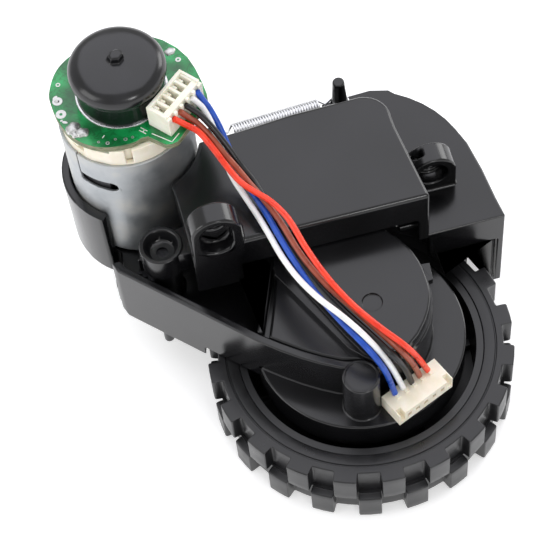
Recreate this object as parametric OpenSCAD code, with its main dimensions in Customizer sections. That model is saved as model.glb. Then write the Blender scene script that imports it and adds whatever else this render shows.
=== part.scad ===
// Drive wheel module of a robot vacuum cleaner, lying on its wheel's outer face. Millimetres.
// Z is the wheel's axis, z = 0 the plane it lies on. Towards the robot's floor is -Y.

/* [Overall] */
// Diameter over the tyre's lugs; the whole plan view follows it
wheel_d = 66; // [60:0.5:80]
// Width of the tyre
tyre_w = 16.2; // [14:0.2:20]
// Height of the box above the deck
box_h = 15.5; // [12:0.5:20]

/* [Motor] */
// Diameter of the motor can
motor_d = 27.7; // [23:0.1:29]
// Length of the motor can
motor_l = 33.6; // [28:0.2:42]
// Diameter of the motor shaft
motor_shaft_d = 2.3; // [1.8:0.1:2.8]

/* [Wheel] */
// Lugs in each of the two rows
lug_count = 20; // [12:1:24]
// Depth of a tyre lug
lug_depth = 2.3; // [1.5:0.1:2.8]
// Diameter of the wheel shaft
shaft_d = 5; // [4:0.1:6]

/* [Gears] */
// Module of the first two gear pairs
mod_a = 0.5; // [0.45:0.01:0.52]
// Module of the last gear pair
mod_d = 0.7; // [0.6:0.01:0.72]
// Side clearance of the teeth
backlash = 0.1; // [0.06:0.01:0.16]
// Diameter of the gear axle pins
axle_d = 2; // [1.6:0.1:2.4]

/* [Mounting] */
// Diameter of the screw holes in the two lugs
lug_hole_d = 4.2; // [3:0.1:5]
// Diameter of the screw head pockets in the two lugs
lug_sink_d = 6.4; // [5.6:0.1:7.6]
// Diameter of the pivot pin
pivot_d = 2.5; // [2:0.1:2.8]

/* [Hidden] */
$fn = 64;
k = wheel_d / 66;
run_gap = 0.04;      // radial clearance of a shaft in its bush
part_gap = 0.4;      // air between bodies that move past each other

// Stack of levels, counted up from the plane the wheel lies on
z_tyre = 0.8;
z_tyre_top = z_tyre + tyre_w;
z_floor = z_tyre_top + part_gap;
floor_t = 1.2;
z_gear1 = z_floor + floor_t + part_gap;
gear1_w = 1.8;
z_deck = z_tyre_top + 4.6;
deck_t = 1.4;
z_plateau = z_deck + 11.4;
plateau_t = 1.6;
z_drum = z_plateau + 4;
z_frame = z_drum + part_gap;
z_ledge = z_tyre_top + 14;
z_box = z_ledge + box_h;
z_pivot = z_plateau + 7;
z_spring = z_drum - 0.5;
z_can = z_deck + deck_t;
z_bell = z_can + motor_l;
bell_h = 4.7;
z_board = z_bell + bell_h;
board_t = 1.6;
z_parts = z_board + board_t;

// Plan positions
tyre_r = wheel_d / 2;
dish_r = 22.56 * k;
rim_r = 24.8 * k;
can_r = motor_d / 2;
motor_xy = k * [-37.5, 45.1];
pivot_xy = k * [-36.7, 21.8];
lug1_x = -25.6 * k;
lug2_x = 23.4 * k;
boss_xy = k * [-3.9, -16.4];
hook_xy = k * [-19.5, 47.4];
post_xy = k * [9.2, 49];

// Gear train: [teeth of the small gear, teeth of the big gear it drives, module]
shift = 0.35;        // profile shift of the small gears, in modules
pair1 = [12, 64, mod_a * k];
pair2 = [12, 30, mod_a * k];
pair3 = [14, 32, 0.6 * k];
pair4 = [14, 34, mod_d * k];
function reach(p) = p[2] * ((p[0] + p[1]) / 2 + shift);
function big_r(p) = p[2] * (p[1] / 2 + 0.9);
function small_r(p) = p[2] * (p[0] / 2 + 0.9 + shift);
function polar(c, r, a) = [c[0] + r * cos(a), c[1] + r * sin(a)];
function bearing(p, q) = atan2(q[1] - p[1], q[0] - p[0]);
// Meeting point of two circles, on the left of the way from p to q
function meet(p, q, rp, rq) =
    let (d = norm(q - p), a = (rp * rp - rq * rq + d * d) / (2 * d))
    polar(polar(p, a, bearing(p, q)), sqrt(max(0, rp * rp - a * a)), bearing(p, q) + 90);
gear1_xy = polar(motor_xy, reach(pair1), -40);
gear3_xy = polar([0, 0], reach(pair4), 112);
gear2_xy = meet(gear1_xy, gear3_xy, reach(pair2), reach(pair3));

// Outlines, counter-clockwise
function arc(c, r, a0, a1, n) = [for (i = [0:n]) polar(c, r, a0 + (a1 - a0) * i / n)];
function edge_n(p, q) = let (d = (q - p) / norm(q - p)) [-d[1], d[0]];
// Moves every side of an outline inwards by t
function inset(p, t) = let (n = len(p)) [for (i = [0:n - 1])
    let (a = edge_n(p[(i + n - 1) % n], p[i]), b = edge_n(p[i], p[(i + 1) % n]))
    p[i] + (a + b) * t / (1 + a * b)];

case_wall = 1.8;
cradle_r = can_r + case_wall + 0.3;
case_line = concat(
    k * [[-46.7, 22.2], [-22.3, -2.2], [-18.3, -5.6], [-14.7, -8.4], [-11.1, -10.8],
         [-7.4, -12.9], [-0.3, -14.9], [7.2, -14.3]],
    arc([0, 0], 15.4 * k, -52, 42, 9),
    arc(gear3_xy, big_r(pair3) + 2.2, 0, 60, 6),
    arc(gear2_xy, big_r(pair2) + 2.2, -2, 22, 3),
    arc(gear1_xy, big_r(pair1) + 2, 4, 84, 8),
    arc(motor_xy, cradle_r, 40, 233, 18),
    [polar(motor_xy, cradle_r, 233) + k * [-0.6, -7.4]]);
plateau_line = concat(
    k * [[-22.4, -1.4], [-18.3, -4.6], [-14.7, -7.4], [-11.1, -9.8], [-7.4, -12], [-0.3, -14],
         [7, -13.4]],
    arc([0, 0], 14.5 * k, -52, 40, 8),
    arc(gear3_xy, big_r(pair3) + 1.9, 0, 58, 5),
    arc(gear2_xy, big_r(pair2) + 1.9, -2, 76, 6),
    arc(gear1_xy, small_r(pair2) + 2, 60, 230, 9),
    k * [[-15.6, 14.7]]);
drum_line = k * [[-12.6, 11.6], [-4.6, -6.8], [-2, -12], [1, -13.9], [4, -14.3], [7.1, -13.6],
    [9.5, -11.7], [11.7, -9.1], [13.1, -6.9], [14, -4.8], [14.6, -3.1], [14.85, -1.4], [14.9, 1],
    [14.85, 3], [14.6, 4.9], [13.9, 7.6], [12.9, 9.8], [11.7, 11.9], [10.3, 13.6], [7, 18],
    [2, 22], [-6, 23.5], [-12.5, 19]];
drum_foot_line = k * [[-15, 11.3], [-4.8, -9.7], [-0.6, -14.5], [4, -14.6], [7.1, -14],
    [9.8, -12], [12.1, -9.4], [13.5, -7.1], [14.4, -5], [15, -3.2], [15.25, -1.4], [15.3, 1],
    [15.2, 3], [15, 5], [14.3, 7.9], [13.3, 10.2], [12, 12.4], [10.8, 14.2], [7.5, 18.8],
    [2, 22.8], [-6.5, 24.3], [-13.3, 19.6]];
box_wall = 1.2;
box_line = concat(
    k * [[-31.1, 13.2], [-21.2, 13.2], [-21.2, 13.9], [19.5, 13.9], [18.4, 23.8],
         [17.4, 32.8]],
    k * arc([11.4, 36.4], 6, -8, 84, 7),
    k * [[-3.2, 42.1], [-17.8, 40.8]],
    arc(motor_xy, can_r + 0.7, -18, -66, 8),
    k * [[-31.1, 24]]);
house_wall = 1.7;
ledge_line = concat(
    k * [[19.5, 13.9], [36.4, 14.0], [35.8, 19.1], [35.2, 26.9], [34.1, 34.4]],
    k * arc([9.8, 31.2], 24.1, 18, 58, 5),
    k * [[21.4, 53], [17.4, 54.1], [12.7, 53.9], [6, 53.4], [6, 41.9],
         [12, 41.4], [16.5, 38], [17.4, 32.8], [18.4, 23.8]]);

// Wire routes from the header to the plug, and the wires' diameter
wire_d = 1.3;
red_route = [[-28.4, 32.8, 67.2], [-26.4, 32.6, 64.8], [-24, 31.8, 62.2], [-22, 29.4, 59.2],
    [-20, 26.1, 56.1], [-18.1, 22.8, 54.5], [-15.7, 19.9, 53.9], [-13.3, 17.2, 53.6],
    [-10.7, 12.8, 52.4], [-8.7, 6.2, 50.2], [-6.1, -0.1, 47.8], [-2.6, -6, 45.2], [1.6, -11.4, 43],
    [5.6, -14.6, 39.4], [8.4, -15, 33.2], [10.8, -14.6, 25.4]];
brown_route = [[-26.8, 34.2, 67.2], [-25.4, 34, 65], [-23.8, 33.6, 62.8], [-21.8, 31.6, 60],
    [-20, 28.8, 57.4], [-18, 25.9, 55], [-16.3, 22.8, 53.3], [-14.5, 19.1, 52.3],
    [-12.3, 13.8, 50.8], [-9.9, 6.2, 48.4], [-6.5, -0.6, 45.9], [-2.4, -6.2, 43.6],
    [1.4, -11.4, 41.4], [4.6, -14.8, 38.2], [7, -15.8, 33], [8.8, -15.4, 25.4]];
black_route = [[-25.4, 35.4, 67.2], [-24.2, 35, 65.8], [-22.8, 34.4, 64], [-20.8, 32.4, 61],
    [-18.8, 29.8, 57.4], [-17, 26.8, 54.2], [-15.2, 23.7, 52.1], [-13.9, 19.5, 50.8],
    [-12.5, 14.2, 49], [-10.5, 7.2, 47], [-7.7, 0.5, 44.9], [-4.2, -5.6, 42.9],
    [-0.6, -11.2, 41.4], [2.6, -15.4, 38.8], [5, -16.4, 33.6], [6.8, -16.4, 25.4]];
white_route = [[-23.8, 36.8, 67.2], [-22.8, 36.4, 65.6], [-22, 36, 64], [-21, 34.4, 61],
    [-20.2, 30.8, 57], [-19.4, 26.1, 53.1], [-17.9, 21.7, 51.2], [-16.5, 17.4, 50.2],
    [-15.1, 12.6, 49], [-13.7, 7, 48], [-11.7, 1.6, 47.2], [-8.8, -3.4, 46.2],
    [-5, -8.2, 44.8], [-1.4, -12.6, 42], [2, -16, 36], [4.8, -17.2, 25.4]];
blue_route = [[-22.4, 38, 67.2], [-21.6, 37.4, 65], [-20.6, 36.6, 62.6], [-19.4, 34, 59.2],
    [-18.6, 31, 56], [-17.6, 27.4, 52.8], [-16.6, 23.5, 51.4], [-15.5, 19.7, 51.2],
    [-14.3, 15.6, 50.4], [-13.1, 10.8, 49.2], [-11.5, 5.2, 47.8], [-9.1, -1.2, 45.5], [-5.6, -8, 43.2],
    [-2, -13.8, 40.8], [0.8, -16.8, 35.4], [2.8, -18, 25.4]];

// Plain shapes
module ring(r_out, r_in, h) {
    difference() {
        cylinder(r = r_out, h = h);
        translate([0, 0, -0.1]) cylinder(r = r_in, h = h + 0.2);
    }
}
module prism(line, z0, z1) {
    translate([0, 0, z0]) linear_extrude(z1 - z0) polygon(line);
}
module at(xy, z = 0) {
    translate([xy[0], xy[1], z]) children();
}

// Flank of an involute tooth: half its angle at radius r
function inv(a) = tan(a) * 180 / PI - a;
function half_angle(m, z, x, r) =
    let (rb = m * z / 2 * cos(20), a = r > rb ? acos(rb / r) : 0)
    90 / z + 2 * x * tan(20) / z * 180 / PI + inv(20) - inv(a)
    - backlash / (m * z) * 90 / PI;
module gear_2d(m, z, x) {
    tip = m * (z / 2 + 0.9 + x);
    root = m * (z / 2 - 1.2 + x);
    mid = m * (z / 2 + x * 0.6);
    low = max(root + 0.05 * m, m * z / 2 * cos(20) + 0.02 * m);
    polygon([for (i = [0:z - 1]) for (s = [
            [root, -half_angle(m, z, x, low)], [low, -half_angle(m, z, x, low)],
            [mid, -half_angle(m, z, x, mid)], [tip, -half_angle(m, z, x, tip)],
            [tip, half_angle(m, z, x, tip)], [mid, half_angle(m, z, x, mid)],
            [low, half_angle(m, z, x, low)], [root, half_angle(m, z, x, low)]])
        polar([0, 0], s[0], i * 360 / z + s[1])]);
}
// Double gear: big wheel below, small pinion above, on an axle pin
module double_gear(p_in, p_out, z_big, w_big, z_small, w_small, a_in, a_out) {
    difference() {
        union() {
            at([0, 0], z_big) linear_extrude(w_big)
                rotate(a_in + 180 + 180 / p_in[1]) gear_2d(p_in[2], p_in[1], 0);
            at([0, 0], z_small) linear_extrude(w_small)
                rotate(a_out) gear_2d(p_out[2], p_out[0], shift);
            at([0, 0], z_big) cylinder(r = p_out[2] * (p_out[0] / 2 - 1), h = z_small - z_big);
        }
        at([0, 0], z_big - 1) cylinder(d = axle_d + 2 * run_gap, h = 30);
    }
}

// Routes are drawn for the default sizes; their ends follow the header and the plug
function fitted(route) =
    let (n = len(route) - 1, first = [motor_xy[0] + 37.5, motor_xy[1] - 45.1, z_parts - 62.9],
         last = [plug_xy[0] - 7.5, plug_xy[1] + 17.8, z_deck - 21.6])
    [for (i = [0:n]) route[i] + first * (1 - i / n) + last * i / n];
// Sweeps a round wire along its route
function unit(v) = v / norm(v);
function side_of(t) = unit(cross(t, abs(t[2]) > 0.9 ? [0, 1, 0] : [0, 0, 1]));
module wire(route) {
    n = len(route);
    sides = 8;
    dirs = [for (i = [0:n - 1]) unit(route[min(i + 1, n - 1)] - route[max(i - 1, 0)])];
    dots = [for (i = [0:n - 1]) let (u = side_of(dirs[i]), v = cross(dirs[i], u))
        for (j = [0:sides - 1]) route[i]
            + wire_d / 2 * (u * cos(j * 360 / sides) + v * sin(j * 360 / sides))];
    walls = [for (i = [0:n - 2]) for (j = [0:sides - 1]) let (q = (j + 1) % sides)
        [i * sides + j, (i + 1) * sides + j, (i + 1) * sides + q, i * sides + q]];
    ends = [[for (j = [0:sides - 1]) j], [for (j = [sides - 1:-1:0]) (n - 1) * sides + j]];
    polyhedron(dots, concat(walls, ends));
}

// Frame body
module lug(x, y0, z_hole, z_foot) {
    lug_r = 5.2;
    translate([x, y0 + 5, z_hole]) rotate([90, 0, 0]) cylinder(r = lug_r, h = 5);
    translate([x - lug_r, y0, z_foot]) cube([2 * lug_r, 5, z_hole - z_foot]);
}
module lug_bore(x, y0, z_hole) {
    translate([x, y0 + 6, z_hole]) rotate([90, 0, 0]) cylinder(d = lug_hole_d, h = 8);
    translate([x, y0 + 3, z_hole]) rotate([90, 0, 0]) cylinder(d = lug_sink_d, h = 4);
}
// Makes the pocket of a lug longer, down by drop
module long_pocket(x, y0, z_hole, drop) {
    translate([x, y0 + 3, z_hole - drop]) rotate([90, 0, 0]) cylinder(d = lug_sink_d, h = 4);
    translate([x - lug_sink_d / 2, y0 - 1, z_hole - drop]) cube([lug_sink_d, 4, drop]);
}
lug1_y = 13.0 * k;
lug2_y = 24.6 * k;
z_lug1 = z_box + 5.6;
z_lug2 = z_ledge + 5.8;
module frame() color([0.16, 0.16, 0.17]) difference() {
    union() {
        // Box, open below
        difference() {
            prism(box_line, z_plateau + part_gap, z_box);
            prism(inset(box_line, box_wall), z_plateau, z_box - 1.6);
            // The arm swings under every side of the box but the deck's
            translate([-60 * k, 12 * k, z_plateau - 1])
                cube([57 * k, 60 * k, z_frame - z_plateau + 1]);
            translate([-21.2 * k, 12 * k, z_plateau - 1])
                cube([60 * k, 3.4 * k, z_frame - z_plateau + 1]);
            translate([-10 * k, 14.5 * k, z_plateau - 1])
                cube([26 * k, 20 * k, z_frame - z_plateau + 1]);
        }
        // Front of the block below the first lug, down to the tray
        translate([-31.1 * k, 13.2 * k, z_plateau - 1.2])
            cube([9.9 * k, 1.6, z_box - z_plateau + 1.2]);
        // Boss of the swing arm's pin, tied to the block
        at(pivot_xy, z_plateau + part_gap) cylinder(r = 4.6, h = z_pivot - z_plateau - part_gap);
        at(pivot_xy + [2, -3.4], z_plateau + part_gap)
            cube([5, 6.8, z_pivot - 0.6 - z_plateau - part_gap]);
        // Right side of the box, down to the deck
        difference() {
            prism(box_line, z_ledge - 1.6, z_box);
            prism(inset(box_line, box_wall), z_ledge - 3, z_box + 1);
            translate([-70 * k, 0, z_ledge - 3]) cube([68 * k, 80 * k, 40]);
            translate([-70 * k, 0, z_ledge - 3]) cube([88.2 * k, 20 * k, 40]);
        }
        // Deck and wheel-house
        prism(ledge_line, z_ledge - 1.6, z_ledge);
        translate([13.6 * k, 17.2 * k, z_ledge - 1.6]) cube([5.4 * k, 8.8 * k, 1.6]);
        translate([17 * k, 13.9 * k, z_ledge - 1.6]) cube([2.5 * k, 1.2, 9]);
        difference() {
            prism(ledge_line, 1.7, z_ledge);
            prism(inset(ledge_line, house_wall), 0, z_ledge + 1);
            translate([-10, 0, 0]) cube([10 + 34.9 * k, 15.9 * k, z_deck + 0.5]);
            translate([-10, 15.6 * k, 0]) cube([10 + 21 * k, 35.4 * k, z_ledge - 1.6]);
            translate([30 * k, 13 * k, 0]) cube([10 * k, 2.6 * k, 4.4]);
        }
        lug(lug1_x, lug1_y, z_lug1, z_box - 4);
        lug(lug2_x, lug2_y, z_lug2, z_ledge - 0.8);
        // Post that holds the spring's end
        at(post_xy, z_ledge - 0.8) cylinder(r1 = 2.2, r2 = 1.3, h = 13.8);
        at(post_xy + [1, -1], z_ledge - 0.8) cube([2.6, 2, 4.4]);
    }
    lug_bore(lug1_x, lug1_y, z_lug1);
    long_pocket(lug1_x, lug1_y, z_lug1, 3.4);
    lug_bore(lug2_x, lug2_y, z_lug2);
    // Groove round the post for the spring's loop
    at(post_xy, z_spring - 0.5) ring(4, 1.35, 1);
    at(pivot_xy, z_plateau) cylinder(d = pivot_d, h = 10);
    at(pivot_xy, z_pivot - 3) cylinder(r1 = 2.4, r2 = 3.7, h = 3.01);
    // Pocket beside the second lug
    translate([lug2_x - 4, lug2_y + 2.2, z_ledge + 7.5]) cube([2.4, 1.6, 5]);
}
module pivot_pin() color([0.75, 0.75, 0.76])
    at(pivot_xy, z_tyre_top - 2) cylinder(d = pivot_d, h = z_pivot - 1.6 - z_tyre_top);

// Arm body
module arm_case() color([0.13, 0.13, 0.14]) difference() {
    union() {
        difference() {
            prism(case_line, z_floor, z_deck + deck_t);
            prism(inset(case_line, case_wall), z_floor + floor_t, z_deck + 10);
        }
        // High wall along the tray and the plateau
        difference() {
            prism(case_line, z_tyre_top - 2.8, z_plateau);
            prism(inset(case_line, case_wall), z_tyre_top - 3, z_plateau + 1);
            translate([-80 * k, 24.5 * k, 0]) cube([160 * k, 80 * k, 80]);
            translate([0, 0, z_tyre_top - 3])
                cylinder(r = tyre_r + part_gap, h = 3 + part_gap);
        }
        // Cradle round the motor
        intersection() {
            at(motor_xy, z_floor) ring(cradle_r + 0.1, can_r + 0.3, z_deck + 16.4 - z_floor);
            prism(concat([motor_xy], arc(motor_xy, 3 * can_r, 72, 233, 8)), 0, 80);
        }
        // Dish that closes the wheel
        at([0, 0], z_deck - 1.6) cylinder(r = dish_r, h = 1.6);
        at([0, 0], z_deck - 8) ring(dish_r, dish_r - 1.5, 8);
        at([0, 0], z_deck - 7) cylinder(r = shaft_d / 2 + 3, h = 7.6);
        at(boss_xy, z_deck - 1) cylinder(r = 3.9, h = 13.4);
        // Bearing of the swing arm
        at(pivot_xy, z_tyre_top - 2) cylinder(r = 3.4, h = z_plateau - z_tyre_top + 2);
        // Peg below the tray that stops the arm's fall
        at(peg_xy, z_tyre_top - 10.8) cylinder(r = 1.15, h = 12);
    }
    at([0, 0], z_deck - 8) cylinder(r = shaft_d / 2 + 1.5, h = 10);
    at([0, 0], z_deck - 7.5) cylinder(r = shaft_d / 2 + 1.5, h = 10);
    at(boss_xy, z_deck + 12.1) cylinder(r = 3.3, h = 1);
    at(case_screw_xy, z_floor - 1) cylinder(r = 1.1, h = 8);
    at(gear1_xy, z_floor + 0.2) cylinder(d = axle_d, h = 3);
    at(gear3_xy, z_deck - 1.4) cylinder(d = axle_d, h = 3);
    at(tray_screw_xy, z_floor - 1) cylinder(r = 0.9, h = 8);
    at(pivot_xy, 0) cylinder(d = pivot_d + 2 * run_gap, h = 60);
    at([0, 0], z_deck + 0.6) cylinder(r = big_r(pair4) + 0.4, h = 9.4);
    // Air for the first big gear over the dish's edge
    at(gear1_xy, z_gear1 - 0.3) cylinder(r = big_r(pair1) + 0.4, h = 2.4);
}
tray_screw_xy = k * [-42, 24.4];
case_screw_xy = k * [-15.6, -2];
peg_xy = k * [-39.1, 18.8];
module case_deck() color([0.15, 0.15, 0.16]) difference() {
    union() {
        prism(inset(case_line, case_wall + 0.05), z_deck, z_deck + deck_t);
        intersection() {
            prism(plateau_line, z_deck, z_plateau);
            prism(inset(case_line, case_wall + 0.05), z_deck, z_plateau);
        }
        // Platform along the motor
        intersection() {
            at(motor_xy, z_deck) ring(can_r + 5, can_r + 0.3, 6.4);
            prism(concat([motor_xy], arc(motor_xy, 30, -104, -20, 5)), 0, 80);
            prism(inset(case_line, case_wall + 0.05), z_deck, z_plateau);
        }
        at(hook_xy, z_deck) cylinder(r1 = 1.6, r2 = 1.4, h = z_drum + 2.4 - z_deck);
    }
    // Room for the gears
    at([0, 0], z_deck - 1) cylinder(r = big_r(pair4) + 0.65, h = z_plateau - plateau_t + 1 - z_deck);
    at(gear3_xy, z_deck - 1) cylinder(r = big_r(pair3) + 0.5, h = 7.6);
    at(gear3_xy, z_deck - 1) cylinder(r = small_r(pair4) + 0.5, h = 10.8);
    at(gear2_xy, z_deck - 1) cylinder(r = big_r(pair2) + 0.5, h = 4.6);
    at(gear2_xy, z_deck - 1) cylinder(r = small_r(pair3) + 0.5, h = 7.9);
    at(gear1_xy, z_deck - 1) cylinder(r = small_r(pair2) + 0.6, h = 5);
    for (p = [gear1_xy, gear2_xy, gear3_xy]) at(p, z_deck) cylinder(d = axle_d, h = 10.8);
    // Motor seat
    at(motor_xy, z_can) cylinder(r = can_r + 0.3, h = 20);
    at(motor_xy, z_deck - 1) cylinder(r = 3.05, h = 4);
    for (s = [-1, 1]) at(motor_xy + s * motor_screw, z_deck - 1) cylinder(r = 1.05, h = 4);
    at([0, 0], z_plateau - 3) cylinder(r = shaft_d / 2 + 3.2, h = 4);
    at(pivot_xy, z_deck - 1) cylinder(r = 3.5, h = 20);
    at(tray_screw_xy, z_deck - 1) cylinder(r = 1.1, h = 4);
    // Groove for the spring's loop
    at(hook_xy, z_spring - 0.5) ring(4, 1.1, 1);
    // The case's boss comes up beside the plateau
    at(boss_xy, z_deck - 1) cylinder(r = 4, h = 16);
    at(case_screw_xy, z_deck - 1) cylinder(r = 0.9, h = 7);
    // Groove along the plateau's left edge
    prism(k * [[-21.6, -2.6], [-20, -3], [-13.9, 13.4], [-15.1, 13.8]], z_plateau - 2.6, z_plateau + 1);
}
motor_screw = [5.4, 5.9];
module gear_cover() color([0.17, 0.17, 0.18]) difference() {
    union() {
        prism(drum_foot_line, z_plateau, z_plateau + 1.7);
        prism(drum_line, z_plateau + 1.6, z_drum);
        prism(k * [[14.6, 0.8], [16.4, 1], [16.8, 5], [14.6, 5.2]], z_plateau, z_plateau + 1.8);
    }
    difference() {
        prism(inset(drum_line, 1.5), z_plateau - 1, z_drum - 1.5);
        at([0, 0], z_plateau - 2) cylinder(r = shaft_d / 2 + 3, h = 8);
    }
    at([0, 0], z_plateau - 1) cylinder(r = shaft_d / 2 + 1.5, h = 3.2);
    at(k * [2.5, -2], z_drum - 0.7) ring(2.1, 0.6, 1);
    at(boss_xy, z_plateau - 1) cylinder(r = 4, h = 2.8);
}
module cover_screws() color([0.3, 0.3, 0.31]) {
    at(case_screw_xy, z_floor - 1.3) difference() {
        cylinder(r = 2, h = 1.3);
        translate([0, 0, -1.5]) cross_slot(0);
    }
    at(case_screw_xy, z_floor - 0.1) cylinder(r = 0.9, h = z_deck + 5 - z_floor);
    at(tray_screw_xy, z_floor + 0.1) cylinder(r = 0.9, h = z_can - z_floor);
    at(tray_screw_xy, z_can) difference() {
        cylinder(r = 2, h = 1.3);
        cross_slot(0.6);
    }
}
module cross_slot(z) {
    translate([-1.3, -0.25, z]) cube([2.6, 0.5, 2]);
    translate([-0.25, -1.3, z]) cube([0.5, 2.6, 2]);
}
module axle_pins() color([0.8, 0.8, 0.8]) {
    at(gear1_xy, z_floor + 0.2) cylinder(d = axle_d, h = z_deck + 6 - z_floor);
    at(gear2_xy, z_deck + 0.1) cylinder(d = axle_d, h = 10.2);
    at(gear3_xy, z_deck - 1.4) cylinder(d = axle_d, h = 12);
}
module shaft_bushes() color([0.72, 0.55, 0.3]) {
    at([0, 0], z_deck - 7.5) ring(shaft_d / 2 + 1.5, shaft_d / 2 + run_gap, 7);
    at([0, 0], z_plateau - 1) ring(shaft_d / 2 + 1.5, shaft_d / 2 + run_gap, 3);
}

// Motor
module motor_can() color([0.7, 0.71, 0.72]) at(motor_xy, z_can) difference() {
    union() {
        cylinder(r = can_r, h = motor_l);
        translate([0, 0, -deck_t]) cylinder(r = 3, h = deck_t + 1);
    }
    translate([0, 0, 1]) cylinder(r = can_r - 1, h = motor_l);
    translate([0, 0, -deck_t - 1]) cylinder(r = 2.2, h = 5);
    for (s = [-1, 1]) translate([s * motor_screw[0], s * motor_screw[1], -1])
        cylinder(r = 1.05, h = 3);
    // Interlock slot and seam of the rolled steel
    translate([0, 0, motor_l * 0.745]) intersection() {
        ring(can_r + 1, can_r - 2, 2);
        prism(concat([[0, 0]], arc([0, 0], 30, -159, -112, 4)), 0, 2);
    }
    rotate(-147) translate([can_r - 2, -0.6, motor_l * 0.745]) cube([4, 1.2, 20]);
    // Vents in the closed end
    for (a = [20:60:320]) rotate(a) translate([7.5, -1.2, -1]) cube([3.6, 2.4, 3]);
}
module motor_screws() color([0.6, 0.6, 0.6])
    for (s = [-1, 1]) at(motor_xy + s * motor_screw, z_deck - 0.4) {
        cylinder(r = 1, h = deck_t + 1.8);
        translate([0, 0, -0.1]) cylinder(r = 1.9, h = 0.5);
    }
module motor_magnets() color([0.25, 0.25, 0.27]) at(motor_xy, z_can + 4)
    for (a = [-60, 120]) difference() {
        intersection() {
            ring(can_r - 1.05, can_r - 3.2, motor_l - 11);
            prism(concat([[0, 0]], arc([0, 0], 30, a, a + 120, 6)), 0, 60);
        }
    }
module end_bell() color([0.88, 0.85, 0.76]) at(motor_xy, z_bell) difference() {
    union() {
        cylinder(r = can_r - 0.5, h = bell_h - 1.2);
        cylinder(r = can_r - 1.2, h = bell_h);
        translate([0, 0, -2.5]) cylinder(r = can_r - 1.05, h = 3);
        // Feet under the board
        for (a = [25:90:295]) rotate(a) translate([can_r - 3.4, -1.5, 0]) cube([3, 3, bell_h]);
    }
    translate([0, 0, -3]) cylinder(r = can_r - 2.6, h = bell_h + 1.2);
    translate([0, 0, -1]) cylinder(r = 2.2, h = 10);
    for (a = [190, 222, 254, 286]) rotate(a) translate([can_r - 2.6, -1.6, 1.3])
        cube([4, 3.2, 1.7]);
}
module motor_bushes() color([0.72, 0.55, 0.3]) {
    at(motor_xy, z_can - deck_t) ring(2.2, motor_shaft_d / 2 + run_gap, 3.4);
    at(motor_xy, z_bell + bell_h - 1.8) ring(2.2, motor_shaft_d / 2 + run_gap, 1.8);
}
module brushes() color([0.35, 0.3, 0.25])
    for (s = [0, 180]) at(motor_xy, z_bell - 2) rotate(s + 40)
        translate([3.3, -0.8, -1.5]) cube([3.4, 1.6, 2.4]);
board_r = 15.4;
header_h = 5.9;
board_xy = motor_xy + [0.3, -0.2];
header_xy = motor_xy + [10.3, -7.5];
module board() color([0.05, 0.35, 0.15]) difference() {
    union() {
        intersection() {
            at(board_xy, z_board) cylinder(r = board_r, h = board_t);
            prism([for (p = [[-14.2, -8.2], [-1, -15], [15, -15], [17.4, -6], [17.2, 2],
                [11, 10.5], [4, 15.8], [-8.5, 12.5], [-14.6, 6]]) p + board_xy],
                z_board, z_board + board_t);
        }
        // Tongue under the header
        at(header_xy, z_board) rotate(41) translate([-6.2, -3.4, 0]) cube([12.4, 7, board_t]);
    }
    at(motor_xy, z_board - 1) cylinder(r = 2.6, h = 4);
    for (p = [[-13.2, 1.5], [-11.8, 7.2], [12.8, 2.6], [-4.6, -12]])
        at(board_xy + p, z_board - 1) cylinder(r = 0.6, h = 4);
}
module board_parts() color([0.1, 0.1, 0.1]) {
    for (p = [[-11.6, -6.4, 30], [-7.4, -10.4, 50]])
        at([motor_xy[0] + p[0], motor_xy[1] + p[1]], z_parts) rotate(p[2])
            translate([-0.8, -0.45, 0]) cube([1.6, 0.9, 0.5]);
    at(motor_xy + [6.6, -0.6], z_parts) cube([1.2, 2, 1.4]);
}
module solder_joints() color([0.8, 0.8, 0.8])
    for (p = [[-13.9, -3], [-6, -13.4], [-2.8, -13.6], [5.6, 12.8]])
        at(board_xy + p, z_parts) cylinder(r1 = 1, r2 = 0.6, h = 0.6);
module header() color([0.92, 0.9, 0.84]) at(header_xy, z_parts) rotate(41) difference() {
    translate([-5.7, -2.85, 0]) cube([11.4, 5.7, header_h]);
    // Comb of slots over the contacts
    for (i = [-2:2]) translate([2 * i - 0.55, -1.9, header_h - 1.6]) cube([1.1, 3, 3]);
    translate([-4.9, 1.7, 2]) cube([9.8, 0.6, 5]);
    for (i = [-2:2]) translate([2 * i, 0, -1]) cylinder(r = 0.3, h = 4);
}
module header_pins() color([0.8, 0.75, 0.55]) at(header_xy, z_board - 0.6) rotate(41)
    for (i = [-2:2]) translate([2 * i, 0, board_t + 0.6]) cylinder(r = 0.3, h = 3);
module cap_ring() color([0.85, 0.85, 0.86]) difference() {
    at(motor_xy, z_parts) ring(10.3, 9.35, 0.8);
    // Room for the header
    at(header_xy, z_board) rotate(41) translate([-6, -3.1, 0]) cube([12, 6.2, 9]);
}
module motor_cap() color([0.09, 0.09, 0.09]) at(motor_xy, z_parts) rotate_extrude() polygon([
    [8.2, 0], [9.2, 0], [9.2, 5], [9.35, 6.2], [9.8, 7.4], [9.7, 8.6], [9, 9.8], [7.4, 10.7],
    [4.8, 11.2], [1.5, 11.3], [1.4, 11.8], [1, 12.2], [0, 12.2], [0, 10], [4.6, 10],
    [6.8, 9.6], [8, 8.8], [8.4, 7.6], [8.2, 5.6]]);

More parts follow.
